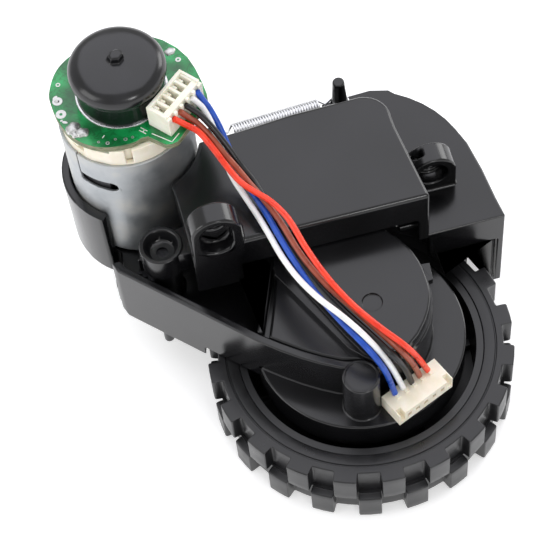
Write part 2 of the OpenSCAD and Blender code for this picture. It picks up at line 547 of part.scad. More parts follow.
// Rotor
module rotor_shaft() color([0.8, 0.8, 0.8])
    at(motor_xy, z_gear1 - 0.1) cylinder(d = motor_shaft_d, h = z_parts + 7.6 - z_gear1);
module motor_pinion() color([0.8, 0.65, 0.35]) at(motor_xy, z_gear1 - 0.1) difference() {
    linear_extrude(2.2) rotate(bearing(motor_xy, gear1_xy)) gear_2d(pair1[2], pair1[0], shift);
    translate([0, 0, -1]) cylinder(d = motor_shaft_d, h = 5);
}
armature_r = can_r - 3.5;
module armature() color([0.5, 0.5, 0.52]) at(motor_xy, z_can + 7) difference() {
    cylinder(r = armature_r, h = motor_l - 17);
    for (a = [0:72:288]) rotate(a) translate([4.2, 0, -1]) {
        cylinder(r = 2.2, h = motor_l);
        translate([0, -0.7, 0]) cube([10, 1.4, motor_l]);
    }
    translate([0, 0, -1]) cylinder(d = motor_shaft_d, h = motor_l);
}
module windings() color([0.75, 0.4, 0.2]) at(motor_xy, z_can + 4.6)
    for (a = [0:72:288]) rotate(a) translate([4.2, 0, 0]) cylinder(r = 2, h = motor_l - 12.4);
module commutator() color([0.8, 0.5, 0.3]) at(motor_xy, z_bell - 4.8)
    ring(3.1, motor_shaft_d / 2, 5);
module speed_magnet() color([0.2, 0.2, 0.22]) at(motor_xy, z_parts + 3)
    ring(4.6, motor_shaft_d / 2, 3);

// Double gears
module gear_1() color([0.9, 0.9, 0.86]) at(gear1_xy) double_gear(pair1, pair2,
    z_gear1, gear1_w, z_gear1 + gear1_w, z_deck + 3.4 - z_gear1 - gear1_w,
    bearing(motor_xy, gear1_xy), bearing(gear1_xy, gear2_xy));
module gear_2() color([0.9, 0.9, 0.86]) at(gear2_xy) double_gear(pair2, pair3,
    z_deck + 0.5, 2.5, z_deck + 3, 3.4, bearing(gear1_xy, gear2_xy),
    bearing(gear2_xy, gear3_xy));
module gear_3() color([0.9, 0.9, 0.86]) at(gear3_xy) double_gear(pair3, pair4,
    z_deck + 3.4, 2.6, z_deck + 6, 3.4, bearing(gear2_xy, gear3_xy),
    bearing(gear3_xy, [0, 0]));

// Wheel body
module output_gear() color([0.9, 0.9, 0.86]) at([0, 0], z_deck + 6.4) difference() {
    linear_extrude(2.8) rotate(bearing(gear3_xy, [0, 0]) + 180 + 180 / pair4[1])
        gear_2d(pair4[2], pair4[1], 0);
    translate([0, 0, -1]) cylinder(d = shaft_d, h = 5);
}
module wheel_shaft() color([0.78, 0.78, 0.8]) at([0, 0], 2.6) difference() {
    cylinder(d = shaft_d, h = z_plateau + 1.8 - 2.6);
    translate([0, 0, -1]) cylinder(r = 1.2, h = 8);
}
module shaft_clip() color([0.4, 0.4, 0.42]) at([0, 0], z_deck + 9.4)
    ring(shaft_d / 2 + 1.2, shaft_d / 2, 0.6);
module hub_screw() color([0.75, 0.75, 0.76]) at([0, 0], 1.2) difference() {
    union() {
        cylinder(r = 3, h = 1.4);
        cylinder(r = 1.2, h = 7.4);
    }
    translate([0, 0, -1.3]) cross_slot(0);
}
module rim() color([0.18, 0.18, 0.19]) difference() {
    union() {
        at([0, 0], z_tyre + 0.2) ring(rim_r + 1.7, rim_r, tyre_w - 0.4);
        at([0, 0], z_tyre) cylinder(r = rim_r + 0.5, h = 2);
        // Outer face, which the module lies on
        ring(21 * k, 19.6 * k, 2);
        cylinder(r = shaft_d / 2 + 4, h = z_deck - 8.4);
        for (a = [0:60:300]) rotate(a) translate([6, -0.8, 2])
            cube([rim_r - 5.4, 1.6, 3]);
    }
    translate([0, 0, 2.6]) cylinder(d = shaft_d, h = 30);
    translate([0, 0, 0.5]) cylinder(r = 3.05, h = 2.1);
    translate([0, 0, -1]) cylinder(r = hub_cap_r + 0.02, h = 1.8);
}
hub_cap_r = 4.6;
module hub_cap() color([0.15, 0.15, 0.16]) cylinder(r = hub_cap_r, h = 0.8);
module tyre() color([0.22, 0.22, 0.23]) at([0, 0], z_tyre) {
    base_r = tyre_r - lug_depth;
    pitch = 360 / lug_count;
    difference() {
        union() {
            difference() {
                cylinder(r = base_r, h = tyre_w);
                // Fine ring on the tyre's side
                translate([0, 0, tyre_w - 0.25]) ring(tyre_r - 4, tyre_r - 4.3, 1);
            }
            // Thin rib between the two rows
            translate([0, 0, tyre_w / 2 - 0.3]) ring(base_r + 0.7, base_r - 1, 0.6);
            for (i = [0:lug_count - 1]) for (row = [0, 1])
                rotate((i + row / 2) * pitch - 3) translate([0, 0, row == 0 ? tyre_w / 2 : 0.4])
                    intersection() {
                        ring(tyre_r, base_r - 1, tyre_w / 2 - 0.4);
                        prism([[0, 0], polar([0, 0], 60, -pitch / 4 + 0.4),
                            polar([0, 0], 60, pitch / 4 - 0.4)], 0, tyre_w / 2);
                    }
        }
        translate([0, 0, -1]) cylinder(r = rim_r + 1.7, h = tyre_w + 2);
    }
}

// Spring between the post and the arm
module spring() color([0.8, 0.8, 0.82]) {
    span = post_xy - hook_xy;
    coil_l = norm(span) - 9;
    turns = 32;
    step = 12;
    n = turns * step;
    wire_r = 0.25;
    coil_r = 1.9;
    sides = 6;
    pts = [for (i = [0:n]) let (a = i * 360 / step)
        [4.5 + coil_l * i / n, coil_r * cos(a), coil_r * sin(a)]];
    dots = [for (i = [0:n]) for (j = [0:sides - 1]) let (a = i * 360 / step, b = j * 360 / sides)
        [pts[i][0] + wire_r * sin(b), (coil_r + wire_r * cos(b)) * cos(a),
         (coil_r + wire_r * cos(b)) * sin(a)]];
    walls = [for (i = [0:n - 1]) for (j = [0:sides - 1]) let (q = (j + 1) % sides)
        [i * sides + j, i * sides + q, (i + 1) * sides + q, (i + 1) * sides + j]];
    ends = [[for (j = [sides - 1:-1:0]) j], [for (j = [0:sides - 1]) n * sides + j]];
    at(hook_xy, z_spring) rotate(bearing(hook_xy, post_xy)) {
        polyhedron(dots, concat(walls, ends));
        for (e = [0, norm(span)]) translate([e, 0, 0]) {
            translate([0, 0, -0.3]) ring(2.2, 1.5, 0.6);
            translate([e == 0 ? 2 : -5, -0.3, -0.3]) cube([3, 0.6, 0.6]);
            // Leg out to the coil
            translate([e == 0 ? 4.2 : -4.8, -0.3, -0.3]) cube([0.6, coil_r + 0.6, 0.6]);
        }
    }
}

// Plug
plug_xy = k * [7.5, -17.8];
module plug() color([0.92, 0.9, 0.84]) at(plug_xy, z_deck) rotate(23.5) difference() {
    union() {
        translate([-7.1, -3, 0]) cube([14.2, 6, 3.9]);
        for (i = [-2:2]) translate([2.2 * i - 0.5, 0.4, 3]) cube([1, 2.6, 1.4]);
    }
    for (s = [-1, 1]) translate([s * 6.2 - 0.6, -3.5, 1.2]) cube([1.2, 2.2, 4]);
    for (i = [-2:2]) translate([2.2 * i - 0.5, -3.5, 1.3]) cube([1, 5, 1.2]);
}
module plug_contacts() color([0.8, 0.75, 0.55]) at(plug_xy, z_deck) rotate(23.5)
    for (i = [-2:2]) translate([2.2 * i - 0.35, -2.6, 1.45]) cube([0.7, 4, 0.9]);

module red_wire() color([0.95, 0.2, 0.12]) wire(fitted(red_route));
module brown_wire() color([0.5, 0.22, 0.16]) wire(fitted(brown_route));
module black_wire() color([0.12, 0.12, 0.13]) wire(fitted(black_route));
module white_wire() color([0.93, 0.93, 0.93]) wire(fitted(white_route));
module blue_wire() color([0.1, 0.28, 0.65]) wire(fitted(blue_route));

frame();
pivot_pin();
arm_case();
case_deck();
gear_cover();
cover_screws();
axle_pins();
shaft_bushes();
motor_can();
motor_screws();
motor_magnets();
end_bell();
motor_bushes();
brushes();
board();
board_parts();
solder_joints();
header();
header_pins();
cap_ring();
motor_cap();
rotor_shaft();
motor_pinion();
armature();
windings();
commutator();
speed_magnet();
gear_1();
gear_2();
gear_3();
output_gear();
wheel_shaft();
shaft_clip();
hub_screw();
hub_cap();
rim();
tyre();
spring();
plug();
plug_contacts();
red_wire();
brown_wire();
black_wire();
white_wire();
blue_wire();
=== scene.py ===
import math

import bmesh
import bpy
from mathutils import Matrix, Vector


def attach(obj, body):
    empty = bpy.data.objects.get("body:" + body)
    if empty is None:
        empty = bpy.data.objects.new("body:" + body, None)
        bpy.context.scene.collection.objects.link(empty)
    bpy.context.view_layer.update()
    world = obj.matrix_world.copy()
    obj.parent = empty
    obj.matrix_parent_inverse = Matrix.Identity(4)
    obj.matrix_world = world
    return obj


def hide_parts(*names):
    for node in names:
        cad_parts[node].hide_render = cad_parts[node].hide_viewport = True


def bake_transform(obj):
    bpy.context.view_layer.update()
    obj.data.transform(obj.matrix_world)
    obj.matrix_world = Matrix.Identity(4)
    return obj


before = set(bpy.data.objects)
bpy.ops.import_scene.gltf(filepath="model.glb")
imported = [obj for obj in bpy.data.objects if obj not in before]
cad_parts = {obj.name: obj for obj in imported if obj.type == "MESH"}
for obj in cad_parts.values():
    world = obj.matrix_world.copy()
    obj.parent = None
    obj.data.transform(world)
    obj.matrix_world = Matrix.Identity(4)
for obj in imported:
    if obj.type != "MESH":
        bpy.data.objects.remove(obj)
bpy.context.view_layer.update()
scene = bpy.context.scene
scene.view_settings.view_transform = "Standard"
mm = 0.001
print("frame loaded")


def linearColour(hexText):  # sRGB hex to the linear colour the shaders want
    channels = [int(hexText[i:i + 2], 16) / 255 for i in (1, 3, 5)]
    return tuple(c / 12.92 if c <= 0.04045 else ((c + 0.055) / 1.055) ** 2.4
                 for c in channels) + (1.0,)


def perMetre(sizeMm):  # texture scale for a pattern of this real size
    return 1000 / sizeMm


def addNode(tree, kind, inputs=None, **settings):
    node = tree.nodes.new(kind)
    for key, value in settings.items():
        setattr(node, key, value)
    for key, value in (inputs or {}).items():
        if isinstance(value, bpy.types.NodeSocket):
            tree.links.new(value, node.inputs[key])
        else:
            node.inputs[key].default_value = value
    return node


def startMaterial(name, **values):
    material = bpy.data.materials.new(name)
    material.use_nodes = True
    tree = material.node_tree
    shader = tree.nodes["Principled BSDF"]
    for key, value in values.items():
        shader.inputs[key.replace("_", " ")].default_value = value
    place = addNode(tree, "ShaderNodeTexCoord").outputs["Object"]
    return material, tree, shader, place


def noise(tree, place, sizeMm, detail=2.0):
    return addNode(tree, "ShaderNodeTexNoise", {
        "Vector": place, "Scale": perMetre(sizeMm), "Detail": detail}).outputs["Fac"]


def ramp(tree, source, stops):
    node = addNode(tree, "ShaderNodeValToRGB", {"Fac": source})
    elements = node.color_ramp.elements
    while len(elements) < len(stops):
        elements.new(0.5)
    for element, (position, colour) in zip(elements, stops):
        element.position = position
        element.color = linearColour(colour)
    return node.outputs["Color"]


def between(tree, source, low, high, inLow, inHigh):
    return addNode(tree, "ShaderNodeMapRange", {
        "Value": source, "From Min": inLow, "From Max": inHigh,
        "To Min": low, "To Max": high}).outputs["Result"]


def paint(tree, shader, source, stops):  # base colour from a pattern
    tree.links.new(ramp(tree, source, stops), shader.inputs["Base Color"])


def sheen(tree, shader, source, low, high, inLow=0.3, inHigh=0.7):  # roughness from one
    tree.links.new(between(tree, source, low, high, inLow, inHigh), shader.inputs["Roughness"])


def bump(tree, shader, height, distanceMm, strength):
    node = addNode(tree, "ShaderNodeBump", {
        "Height": height, "Distance": distanceMm * mm, "Strength": strength})
    tree.links.new(node.outputs["Normal"], shader.inputs["Normal"])


# Black ABS from a polished mould: deep and glossy, slightly wavy from shrinking
def makeMouldedAbs(name, colour, roughness):
    material, tree, shader, place = startMaterial(name, IOR=1.5)
    haze = noise(tree, place, 16, 1.0)
    paint(tree, shader, haze, [(0.3, "#0c0c0d"), (0.7, colour)])
    sheen(tree, shader, haze, roughness - 0.03, roughness + 0.05)
    bump(tree, shader, noise(tree, place, 9, 0.0), 0.05, 0.25)
    return material


# Tyre rubber, new: dark, with the slight shine of the mould and faint pale bloom
def makeTyreRubber():
    material, tree, shader, place = startMaterial("tyreRubber", IOR=1.5)
    cloud = noise(tree, place, 5, 4.0)
    paint(tree, shader, cloud, [(0.3, "#121213"), (0.6, "#1a1a1c"), (0.8, "#252527")])
    sheen(tree, shader, cloud, 0.27, 0.4)
    bump(tree, shader, noise(tree, place, 0.9, 3.0), 0.02, 0.4)
    return material


# Galvanised steel, rolled: soft grey shine with pale zinc clouds
def makeZincSteel():
    material, tree, shader, place = startMaterial("zincSteel", Metallic=1.0)
    cells = addNode(tree, "ShaderNodeTexVoronoi", {
        "Vector": place, "Scale": perMetre(1.4), "Randomness": 1.0}, feature="F1")
    grey = addNode(tree, "ShaderNodeSeparateColor", {"Color": cells.outputs["Color"]})
    mixed = addNode(tree, "ShaderNodeMath", {
        0: between(tree, grey.outputs["Red"], -0.04, 0.04, 0, 1),
        1: noise(tree, place, 7, 6.0)}, operation="ADD").outputs[0]
    paint(tree, shader, mixed, [(0.3, "#a4a8ab"), (0.5, "#b3b6b8"), (0.7, "#c2c2be")])
    sheen(tree, shader, mixed, 0.46, 0.6)
    bump(tree, shader, noise(tree, place, 0.5), 0.004, 0.5)
    return material


# Natural nylon, moulded: creamy, a little translucent, with a satin skin
def makeCreamNylon(name, colour, deep):
    material, tree, shader, place = startMaterial(
        name, Subsurface_Weight=0.12, Subsurface_Scale=0.6 * mm, IOR=1.53)
    cloud = noise(tree, place, 3, 3.0)
    paint(tree, shader, cloud, [(0.3, deep), (0.65, colour)])
    sheen(tree, shader, cloud, 0.36, 0.5)
    bump(tree, shader, noise(tree, place, 0.6), 0.01, 0.4)
    return material


# Green solder mask over copper: glossy lacquer, soft darker veins where the copper ends
def makeSolderMask():
    material, tree, shader, place = startMaterial(
        "solderMask", IOR=1.5, Coat_Weight=0.25, Coat_Roughness=0.08)
    pour = noise(tree, place, 4.5, 1.0)
    veins = addNode(tree, "ShaderNodeTexNoise", {
        "Vector": place, "Scale": perMetre(2.2), "Detail": 2.0, "Distortion": 1.2})
    lines = addNode(tree, "ShaderNodeMath", {0: veins.outputs["Fac"], 1: 0.5},
                    operation="SUBTRACT")
    lines = addNode(tree, "ShaderNodeMath", {0: lines.outputs[0]}, operation="ABSOLUTE")
    line = between(tree, lines.outputs[0], -0.16, 0.0, 0.0, 0.035)
    level = addNode(tree, "ShaderNodeMath", {0: pour, 1: line}, operation="ADD").outputs[0]
    paint(tree, shader, level, [(0.28, "#04582a"), (0.46, "#087a3c"), (0.6, "#12964e"),
                                (0.75, "#24ab62")])
    sheen(tree, shader, pour, 0.2, 0.3, 0, 1)
    return material


# Cut edge of the glass laminate: brownish, layered and dull
def makeLaminateEdge():
    material, tree, shader, place = startMaterial("laminateEdge", IOR=1.5)
    stretched = addNode(tree, "ShaderNodeMapping", {"Vector": place, "Scale": (1, 1, 9)})
    layers = noise(tree, stretched.outputs["Vector"], 1.6, 2.0)
    paint(tree, shader, layers, [(0.35, "#4c5a3a"), (0.5, "#7a8062"), (0.65, "#8f8a72")])
    sheen(tree, shader, layers, 0.5, 0.7, 0, 1)
    return material


# Soft PVC, dipped: smooth wet-looking skin with wide soft highlights
def makeDippedPvc():
    material, tree, shader, place = startMaterial("dippedPvc", IOR=1.52)
    cloud = noise(tree, place, 4, 1.0)
    paint(tree, shader, cloud, [(0.3, "#08080a"), (0.7, "#111115")])
    sheen(tree, shader, cloud, 0.18, 0.26)
    bump(tree, shader, noise(tree, place, 2.6, 1.0), 0.06, 0.35)
    return material


# PVC wire insulation, extruded: even colour with a satin skin
def makeInsulation(name, colour, deep):
    material, tree, shader, place = startMaterial(
        name, IOR=1.5, Subsurface_Weight=0.05, Subsurface_Scale=0.3 * mm)
    cloud = noise(tree, place, 2.4, 2.0)
    paint(tree, shader, cloud, [(0.3, deep), (0.6, colour)])
    sheen(tree, shader, cloud, 0.26, 0.36)
    return material


# Plain metals: tinned or nickelled steel, bronze, copper
def makeMetal(name, colour, deep, low, high, grainMm):
    material, tree, shader, place = startMaterial(name, Metallic=1.0)
    cloud = noise(tree, place, grainMm, 4.0)
    paint(tree, shader, cloud, [(0.3, deep), (0.7, colour)])
    sheen(tree, shader, cloud, low, high)
    bump(tree, shader, cloud, 0.008, 0.4)
    return material


# Epoxy, carbon, ferrite, ink: dull solids
def makeDull(name, colour, deep, grainMm):
    material, tree, shader, place = startMaterial(name, IOR=1.5)
    cloud = noise(tree, place, grainMm, 3.0)
    paint(tree, shader, cloud, [(0.35, deep), (0.65, colour)])
    sheen(tree, shader, cloud, 0.4, 0.6)
    bump(tree, shader, cloud, 0.008, 0.4)
    return material


mouldedAbs = makeMouldedAbs("mouldedAbs", "#161618", 0.2)
satinAbs = makeMouldedAbs("satinAbs", "#1b1b1d", 0.32)
tyreRubber = makeTyreRubber()
zincSteel = makeZincSteel()
creamNylon = makeCreamNylon("creamNylon", "#f6efdf", "#ece3cc")
ivoryNylon = makeCreamNylon("ivoryNylon", "#f4f1e4", "#e8e3d0")
gearAcetal = makeCreamNylon("gearAcetal", "#eceae2", "#dddad0")
solderMask = makeSolderMask()
laminateEdge = makeLaminateEdge()
dippedPvc = makeDippedPvc()
tinnedSteel = makeMetal("tinnedSteel", "#d9dadb", "#b9babb", 0.18, 0.32, 0.8)
springSteel = makeMetal("springSteel", "#e2e2e3", "#c4c5c7", 0.24, 0.38, 0.6)
solder = makeMetal("solder", "#d4d3d0", "#aeb0b0", 0.34, 0.5, 0.5)
blackSteel = makeMetal("blackSteel", "#3a3a3c", "#2a2a2c", 0.3, 0.42, 0.6)
bronze = makeMetal("bronze", "#b98d54", "#8d673a", 0.3, 0.45, 0.7)
copper = makeMetal("copper", "#c9784a", "#a0552f", 0.28, 0.4, 0.5)
contactBrass = makeMetal("contactBrass", "#d8c07a", "#b39a55", 0.2, 0.34, 0.5)
coreSteel = makeMetal("coreSteel", "#8b8c8e", "#5f6062", 0.4, 0.55, 0.5)
ferrite = makeDull("ferrite", "#3b3b3e", "#2a2a2c", 0.6)
carbon = makeDull("carbon", "#3a3733", "#242220", 0.4)
chipEpoxy = makeDull("chipEpoxy", "#1c1c1e", "#121214", 0.4)
silkscreen = makeDull("silkscreen", "#eef1ec", "#d9ded7", 0.5)
print("materials made")

cameraView = {"lens": 126.132, "place": (-44.47, -193.39, 381.29),
              "elevation": 59.194, "roll": -6.832, "yaw": 8.2, "sensor": 36,
              "clip": (0.01, 20)}  # place in mm, clip in metres


def makeCamera():
    e, r = math.radians(cameraView["elevation"]), math.radians(cameraView["roll"])
    ahead = Vector((0, math.cos(e), -math.sin(e)))
    level, upright = Vector((1, 0, 0)), Vector((0, math.sin(e), math.cos(e)))
    across = math.cos(r) * level + math.sin(r) * upright
    up = -math.sin(r) * level + math.cos(r) * upright
    turn = Matrix.Rotation(-math.radians(cameraView["yaw"]), 3, "Z") @ Matrix(
        (across, up, -ahead)).transposed()
    data = bpy.data.cameras.new("photoCamera")
    data.sensor_width = cameraView["sensor"]
    data.lens = cameraView["lens"]
    data.clip_start, data.clip_end = cameraView["clip"]
    camera = bpy.data.objects.new("photoCamera", data)
    scene.collection.objects.link(camera)
    camera.matrix_world = Matrix.Translation(Vector(cameraView["place"]) * mm) @ turn.to_4x4()
    scene.camera = camera


makeCamera()
print("camera made")


def addPiece(name, mesh, materials, body, slot, *nodes):
    piece = bpy.data.objects.new(name, mesh)
    scene.collection.objects.link(piece)
    for material in materials if isinstance(materials, list) else [materials]:
        mesh.materials.append(material)
    if nodes:
        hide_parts(*nodes)
    if body:
        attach(piece, body)
    return piece


def meshFrom(name, work, sharpAngle=35):  # a finished mesh from mesh code, edges set by angle
    bmesh.ops.recalc_face_normals(work, faces=work.faces)
    for face in work.faces:
        face.smooth = True
    mesh = bpy.data.meshes.new(name)
    work.to_mesh(mesh)
    work.free()
    mesh.set_sharp_from_angle(angle=math.radians(sharpAngle))
    return mesh


# Cleaning and rounding of meshes: lengths in mm, angles in degrees. A rounding takes at
# most its share of a short edge beside it
edgeSettings = {"weld": 0.002, "flatBelow": 0.6, "sharpAbove": 35, "inLine": 0.85,
                "share": 0.42}


def softenEdges(piece, width, angle=edgeSettings["sharpAbove"], segments=2, byWeight=False):
    bevel = piece.modifiers.new("softEdges", "BEVEL")
    bevel.width = width * mm
    bevel.segments = segments
    bevel.limit_method = "WEIGHT" if byWeight else "ANGLE"
    bevel.angle_limit = math.radians(angle)
    bevel.miter_outer = "MITER_ARC"
    bevel.use_clamp_overlap = not byWeight
    weighted = piece.modifiers.new("flatFaces", "WEIGHTED_NORMAL")
    weighted.keep_sharp = True


def weighEdges(work, widest, widthAt):
    # The width wanted there, or less where a short edge meets it
    layer = work.edges.layers.float.new("bevel_weight_edge")
    limit = math.radians(edgeSettings["sharpAbove"])
    sharp = {e for e in work.edges
             if len(e.link_faces) == 2 and e.calc_face_angle(0) > limit}
    for edge in sharp:
        along = (edge.verts[1].co - edge.verts[0].co).normalized()
        width = widthAt((edge.verts[0].co + edge.verts[1].co) / 2 / mm) * mm
        for loop in edge.link_loops:
            for near in (loop.link_loop_next.edge, loop.link_loop_prev.edge):
                way = (near.verts[1].co - near.verts[0].co).normalized()
                if near in sharp and abs(way.dot(along)) > edgeSettings["inLine"]:
                    continue
                width = min(width, edgeSettings["share"] * near.calc_length())
        edge[layer] = min(width / (widest * mm), 1.0)


def remake(name, node, material, body, slot, edge, widthAt=None, change=None, segments=2):
    # A CAD node's own mesh with rounded edges, all of one width or by place
    work = bmesh.new()
    work.from_mesh(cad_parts[node].data)
    if change:
        change(work)
    bmesh.ops.remove_doubles(work, verts=work.verts, dist=edgeSettings["weld"] * mm)
    bmesh.ops.dissolve_limit(work, angle_limit=math.radians(edgeSettings["flatBelow"]),
                             verts=work.verts, edges=work.edges)
    if widthAt:
        bmesh.ops.recalc_face_normals(work, faces=work.faces)
        weighEdges(work, edge, widthAt)
    piece = addPiece(name, meshFrom(name, work, 60), material, body, slot, node)
    softenEdges(piece, edge, segments=segments, byWeight=bool(widthAt))
    return piece


def joinRings(work, rings):  # faces between rings of points; a ring of one point is a tip
    for low, high in zip(rings, rings[1:]):
        steps = max(len(low), len(high))
        for i in range(steps if steps > 1 else 0):
            j = (i + 1) % steps
            corners = [low[i % len(low)], low[j % len(low)],
                       high[j % len(high)], high[i % len(high)]]
            work.faces.new(list(dict.fromkeys(corners)))


def revolve(work, profile, centre, steps):  # closed profile of (radius, height) round a centre
    rings = []
    for radius, height in profile:
        count = 1 if radius < 1e-6 else steps
        rings.append([work.verts.new((
            (centre[0] + radius * math.cos(2 * math.pi * i / steps)) * mm,
            (centre[1] + radius * math.sin(2 * math.pi * i / steps)) * mm, height * mm))
            for i in range(count)])
    joinRings(work, rings + rings[:1])


def slab(work, outline, low, high):  # upright prism over an outline of (x, y)
    bottom = [work.verts.new((x * mm, y * mm, low * mm)) for x, y in outline]
    top = [work.verts.new((x * mm, y * mm, high * mm)) for x, y in outline]
    work.faces.new(bottom[::-1])
    work.faces.new(top)
    for i in range(len(outline)):
        j = (i + 1) % len(outline)
        work.faces.new((bottom[i], bottom[j], top[j], top[i]))


def turned(points, centre, degrees):
    c, s = math.cos(math.radians(degrees)), math.sin(math.radians(degrees))
    return [(centre[0] + c * x - s * y, centre[1] + s * x + c * y) for x, y in points]


def block(work, centre, degrees, x0, x1, y0, y1, low, high):
    slab(work, turned([(x0, y0), (x1, y0), (x1, y1), (x0, y1)], centre, degrees), low, high)


# Wires from the header on the motor's board to the loose plug
wireSettings = {"diameter": 1.3, "stepsPerPoint": 4, "roundness": 5}
wireRoutes = {
    "red": {"colour": "#f33d1c", "deep": "#e03014", "length": 83.2, "points": [
        (-28.4, 32.8, 67.2), (-26.4, 32.6, 64.8), (-24, 31.8, 62.2), (-22, 29.4, 59.2),
        (-20, 26.1, 56.1), (-18.1, 22.8, 54.5), (-15.7, 19.9, 53.9), (-13.3, 17.2, 53.6),
        (-10.7, 12.8, 52.4), (-8.7, 6.2, 50.2), (-6.1, -0.1, 47.8), (-2.6, -6, 45.2),
        (1.6, -11.4, 43), (5.6, -14.6, 39.4), (8.4, -15, 33.2), (10.8, -14.6, 25.4)]},
    "brown": {"colour": "#9c4a32", "deep": "#863b27", "length": 82.0, "points": [
        (-26.8, 34.2, 67.2), (-25.4, 34, 65), (-23.8, 33.6, 62.8), (-21.8, 31.6, 60),
        (-20, 28.8, 57.4), (-18, 25.9, 55), (-16.3, 22.8, 53.3), (-14.5, 19.1, 52.3),
        (-12.3, 13.8, 50.8), (-9.9, 6.2, 48.4), (-6.5, -0.6, 45.9), (-2.4, -6.2, 43.6),
        (1.4, -11.4, 41.4), (4.6, -14.8, 38.2), (7, -15.8, 33), (8.8, -15.4, 25.4)]},
    "black": {"colour": "#111113", "deep": "#0a0a0c", "length": 82.1, "points": [
        (-25.4, 35.4, 67.2), (-24.2, 35, 65.8), (-22.8, 34.4, 64), (-20.8, 32.4, 61),
        (-18.8, 29.8, 57.4), (-17, 26.8, 54.2), (-15.2, 23.7, 52.1), (-13.9, 19.5, 50.8),
        (-12.5, 14.2, 49), (-10.5, 7.2, 47), (-7.7, 0.5, 44.9), (-4.2, -5.6, 42.9),
        (-0.6, -11.2, 41.4), (2.6, -15.4, 38.8), (5, -16.4, 33.6), (6.8, -16.4, 25.4)]},
    "white": {"colour": "#f1f1f1", "deep": "#e2e2e2", "length": 82.9, "points": [
        (-23.8, 36.8, 67.2), (-22.8, 36.4, 65.6), (-22, 36, 64), (-21, 34.4, 61),
        (-20.2, 30.8, 57), (-19.4, 26.1, 53.1), (-17.9, 21.7, 51.2), (-16.5, 17.4, 50.2),
        (-15.1, 12.6, 49), (-13.7, 7, 48), (-11.7, 1.6, 47.2), (-8.8, -3.4, 46.2),
        (-5, -8.2, 44.8), (-1.4, -12.6, 42), (2, -16, 36), (4.8, -17.2, 25.4)]},
    "blue": {"colour": "#0f4cb4", "deep": "#0b3f9c", "length": 82.0, "points": [
        (-22.4, 38, 67.2), (-21.6, 37.4, 65), (-20.6, 36.6, 62.6), (-19.4, 34, 59.2),
        (-18.6, 31, 56), (-17.6, 27.4, 52.8), (-16.6, 23.5, 51.4), (-15.5, 19.7, 51.2),
        (-14.3, 15.6, 50.4), (-13.1, 10.8, 49.2), (-11.5, 5.2, 47.8), (-9.1, -1.2, 45.5),
        (-5.6, -8, 43.2), (-2, -13.8, 40.8), (0.8, -16.8, 35.4), (2.8, -18, 25.4)]},
}


def smoothPath(points, steps):  # one smooth line through every point
    points = [Vector(p) for p in points]
    ends = [2 * points[0] - points[1]] + points + [2 * points[-1] - points[-2]]
    path = []
    for a, b, c, d in zip(ends, ends[1:], ends[2:], ends[3:]):
        for i in range(steps):
            t = i / steps
            path.append(0.5 * (2 * b + (c - a) * t + (2 * a - 5 * b + 4 * c - d) * t * t
                               + (3 * b - a - 3 * c + d) * t ** 3))
    return path + [points[-1]]


def makeWire(colourName):
    route = wireRoutes[colourName]
    path = smoothPath(route["points"], wireSettings["stepsPerPoint"])
    curve = bpy.data.curves.new(colourName + "Wire", "CURVE")
    curve.dimensions = "3D"
    curve.bevel_depth = wireSettings["diameter"] / 2 * mm
    curve.bevel_resolution = wireSettings["roundness"]
    curve.use_fill_caps = True
    spline = curve.splines.new("POLY")
    spline.points.add(len(path) - 1)
    for point, place in zip(spline.points, path):
        point.co = (*(place * mm), 1)
    spline.use_smooth = True
    wire = bpy.data.objects.new(colourName + "Wire", curve)
    scene.collection.objects.link(wire)
    curve.materials.append(makeInsulation(colourName + "Pvc", route["colour"], route["deep"]))
    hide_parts(colourName + "_wire")
    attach(wire, "arm")
    return wire, sum((b - a).length for a, b in zip(path, path[1:]))


# Edge roundings of the mouldings in mm
edgeWidths = {
    "housingFrame": {"boxTop": 1.0, "upper": 0.5, "lower": 0.4, "pivotRim": 0.25},
    "armCase": {"ledge": 0.6, "rest": 0.4}, "armDeck": {"plateau": 0.6, "rest": 0.35},
    "gearCover": {"top": 0.6, "foot": 0.1, "gateMark": 0.16},
    "wheelRim": 0.14, "plugHousing": 0.22}

plugPiece = remake("plugHousing", "plug", creamNylon, "arm", "cream_nylon",
                   edgeWidths["plugHousing"])
for colourName in wireRoutes:
    wirePiece, measured = makeWire(colourName)
    print(colourName, "wire", round(measured, 2), "mm")
print("wires made")

pivotBoss = {"place": (-36.7, 21.8), "reach": 7.071, "rimFrom": 39.8}
# The mark on the cover's drum: radii of its gate, its ring and the area they stand in
gateMark = {"place": (2.5, -2), "gate": 0.7, "ring": 2.2, "area": 3, "depth": 0.5}


def away(p, place):  # distance from a place in plan
    return math.hypot(p.x - place[0], p.y - place[1])


def frameEdge(p):  # widest along the box's top, none at the foot of the pivot's boss
    widths = edgeWidths["housingFrame"]
    if 46 < p.z < 47:  # the heights of the box's top
        return widths["boxTop"]
    if away(p, pivotBoss["place"]) < pivotBoss["reach"]:
        return widths["pivotRim"] if p.z > pivotBoss["rimFrom"] else 0
    return widths["upper"] if p.z > 36 else widths["lower"]


def shallowGateMark(work):  # lifts the floor of the mark and lowers its gate
    top = max(vert.co.z for vert in work.verts) / mm
    for vert in work.verts:
        p = vert.co / mm
        inRing = away(p, gateMark["place"]) < gateMark["ring"] and p.z < top - 0.1
        if p.z > top - 1 and (away(p, gateMark["place"]) < gateMark["gate"] or inRing):
            vert.co.z = (top - gateMark["depth"]) * mm


def coverEdge(p):  # fine on the gate mark and round the foot
    widths = edgeWidths["gearCover"]
    if away(p, gateMark["place"]) < gateMark["area"]:
        return widths["gateMark"]
    return widths["top"] if p.z > 36.8 else widths["foot"]


def armEdge(p):  # none where the cradle runs into the long wall
    if abs(p.x + 48.3) < 4 and 24 < p.y < 38:
        return 0
    onLedge = 22 < p.z < 24
    return edgeWidths["armCase"]["ledge" if onLedge else "rest"]


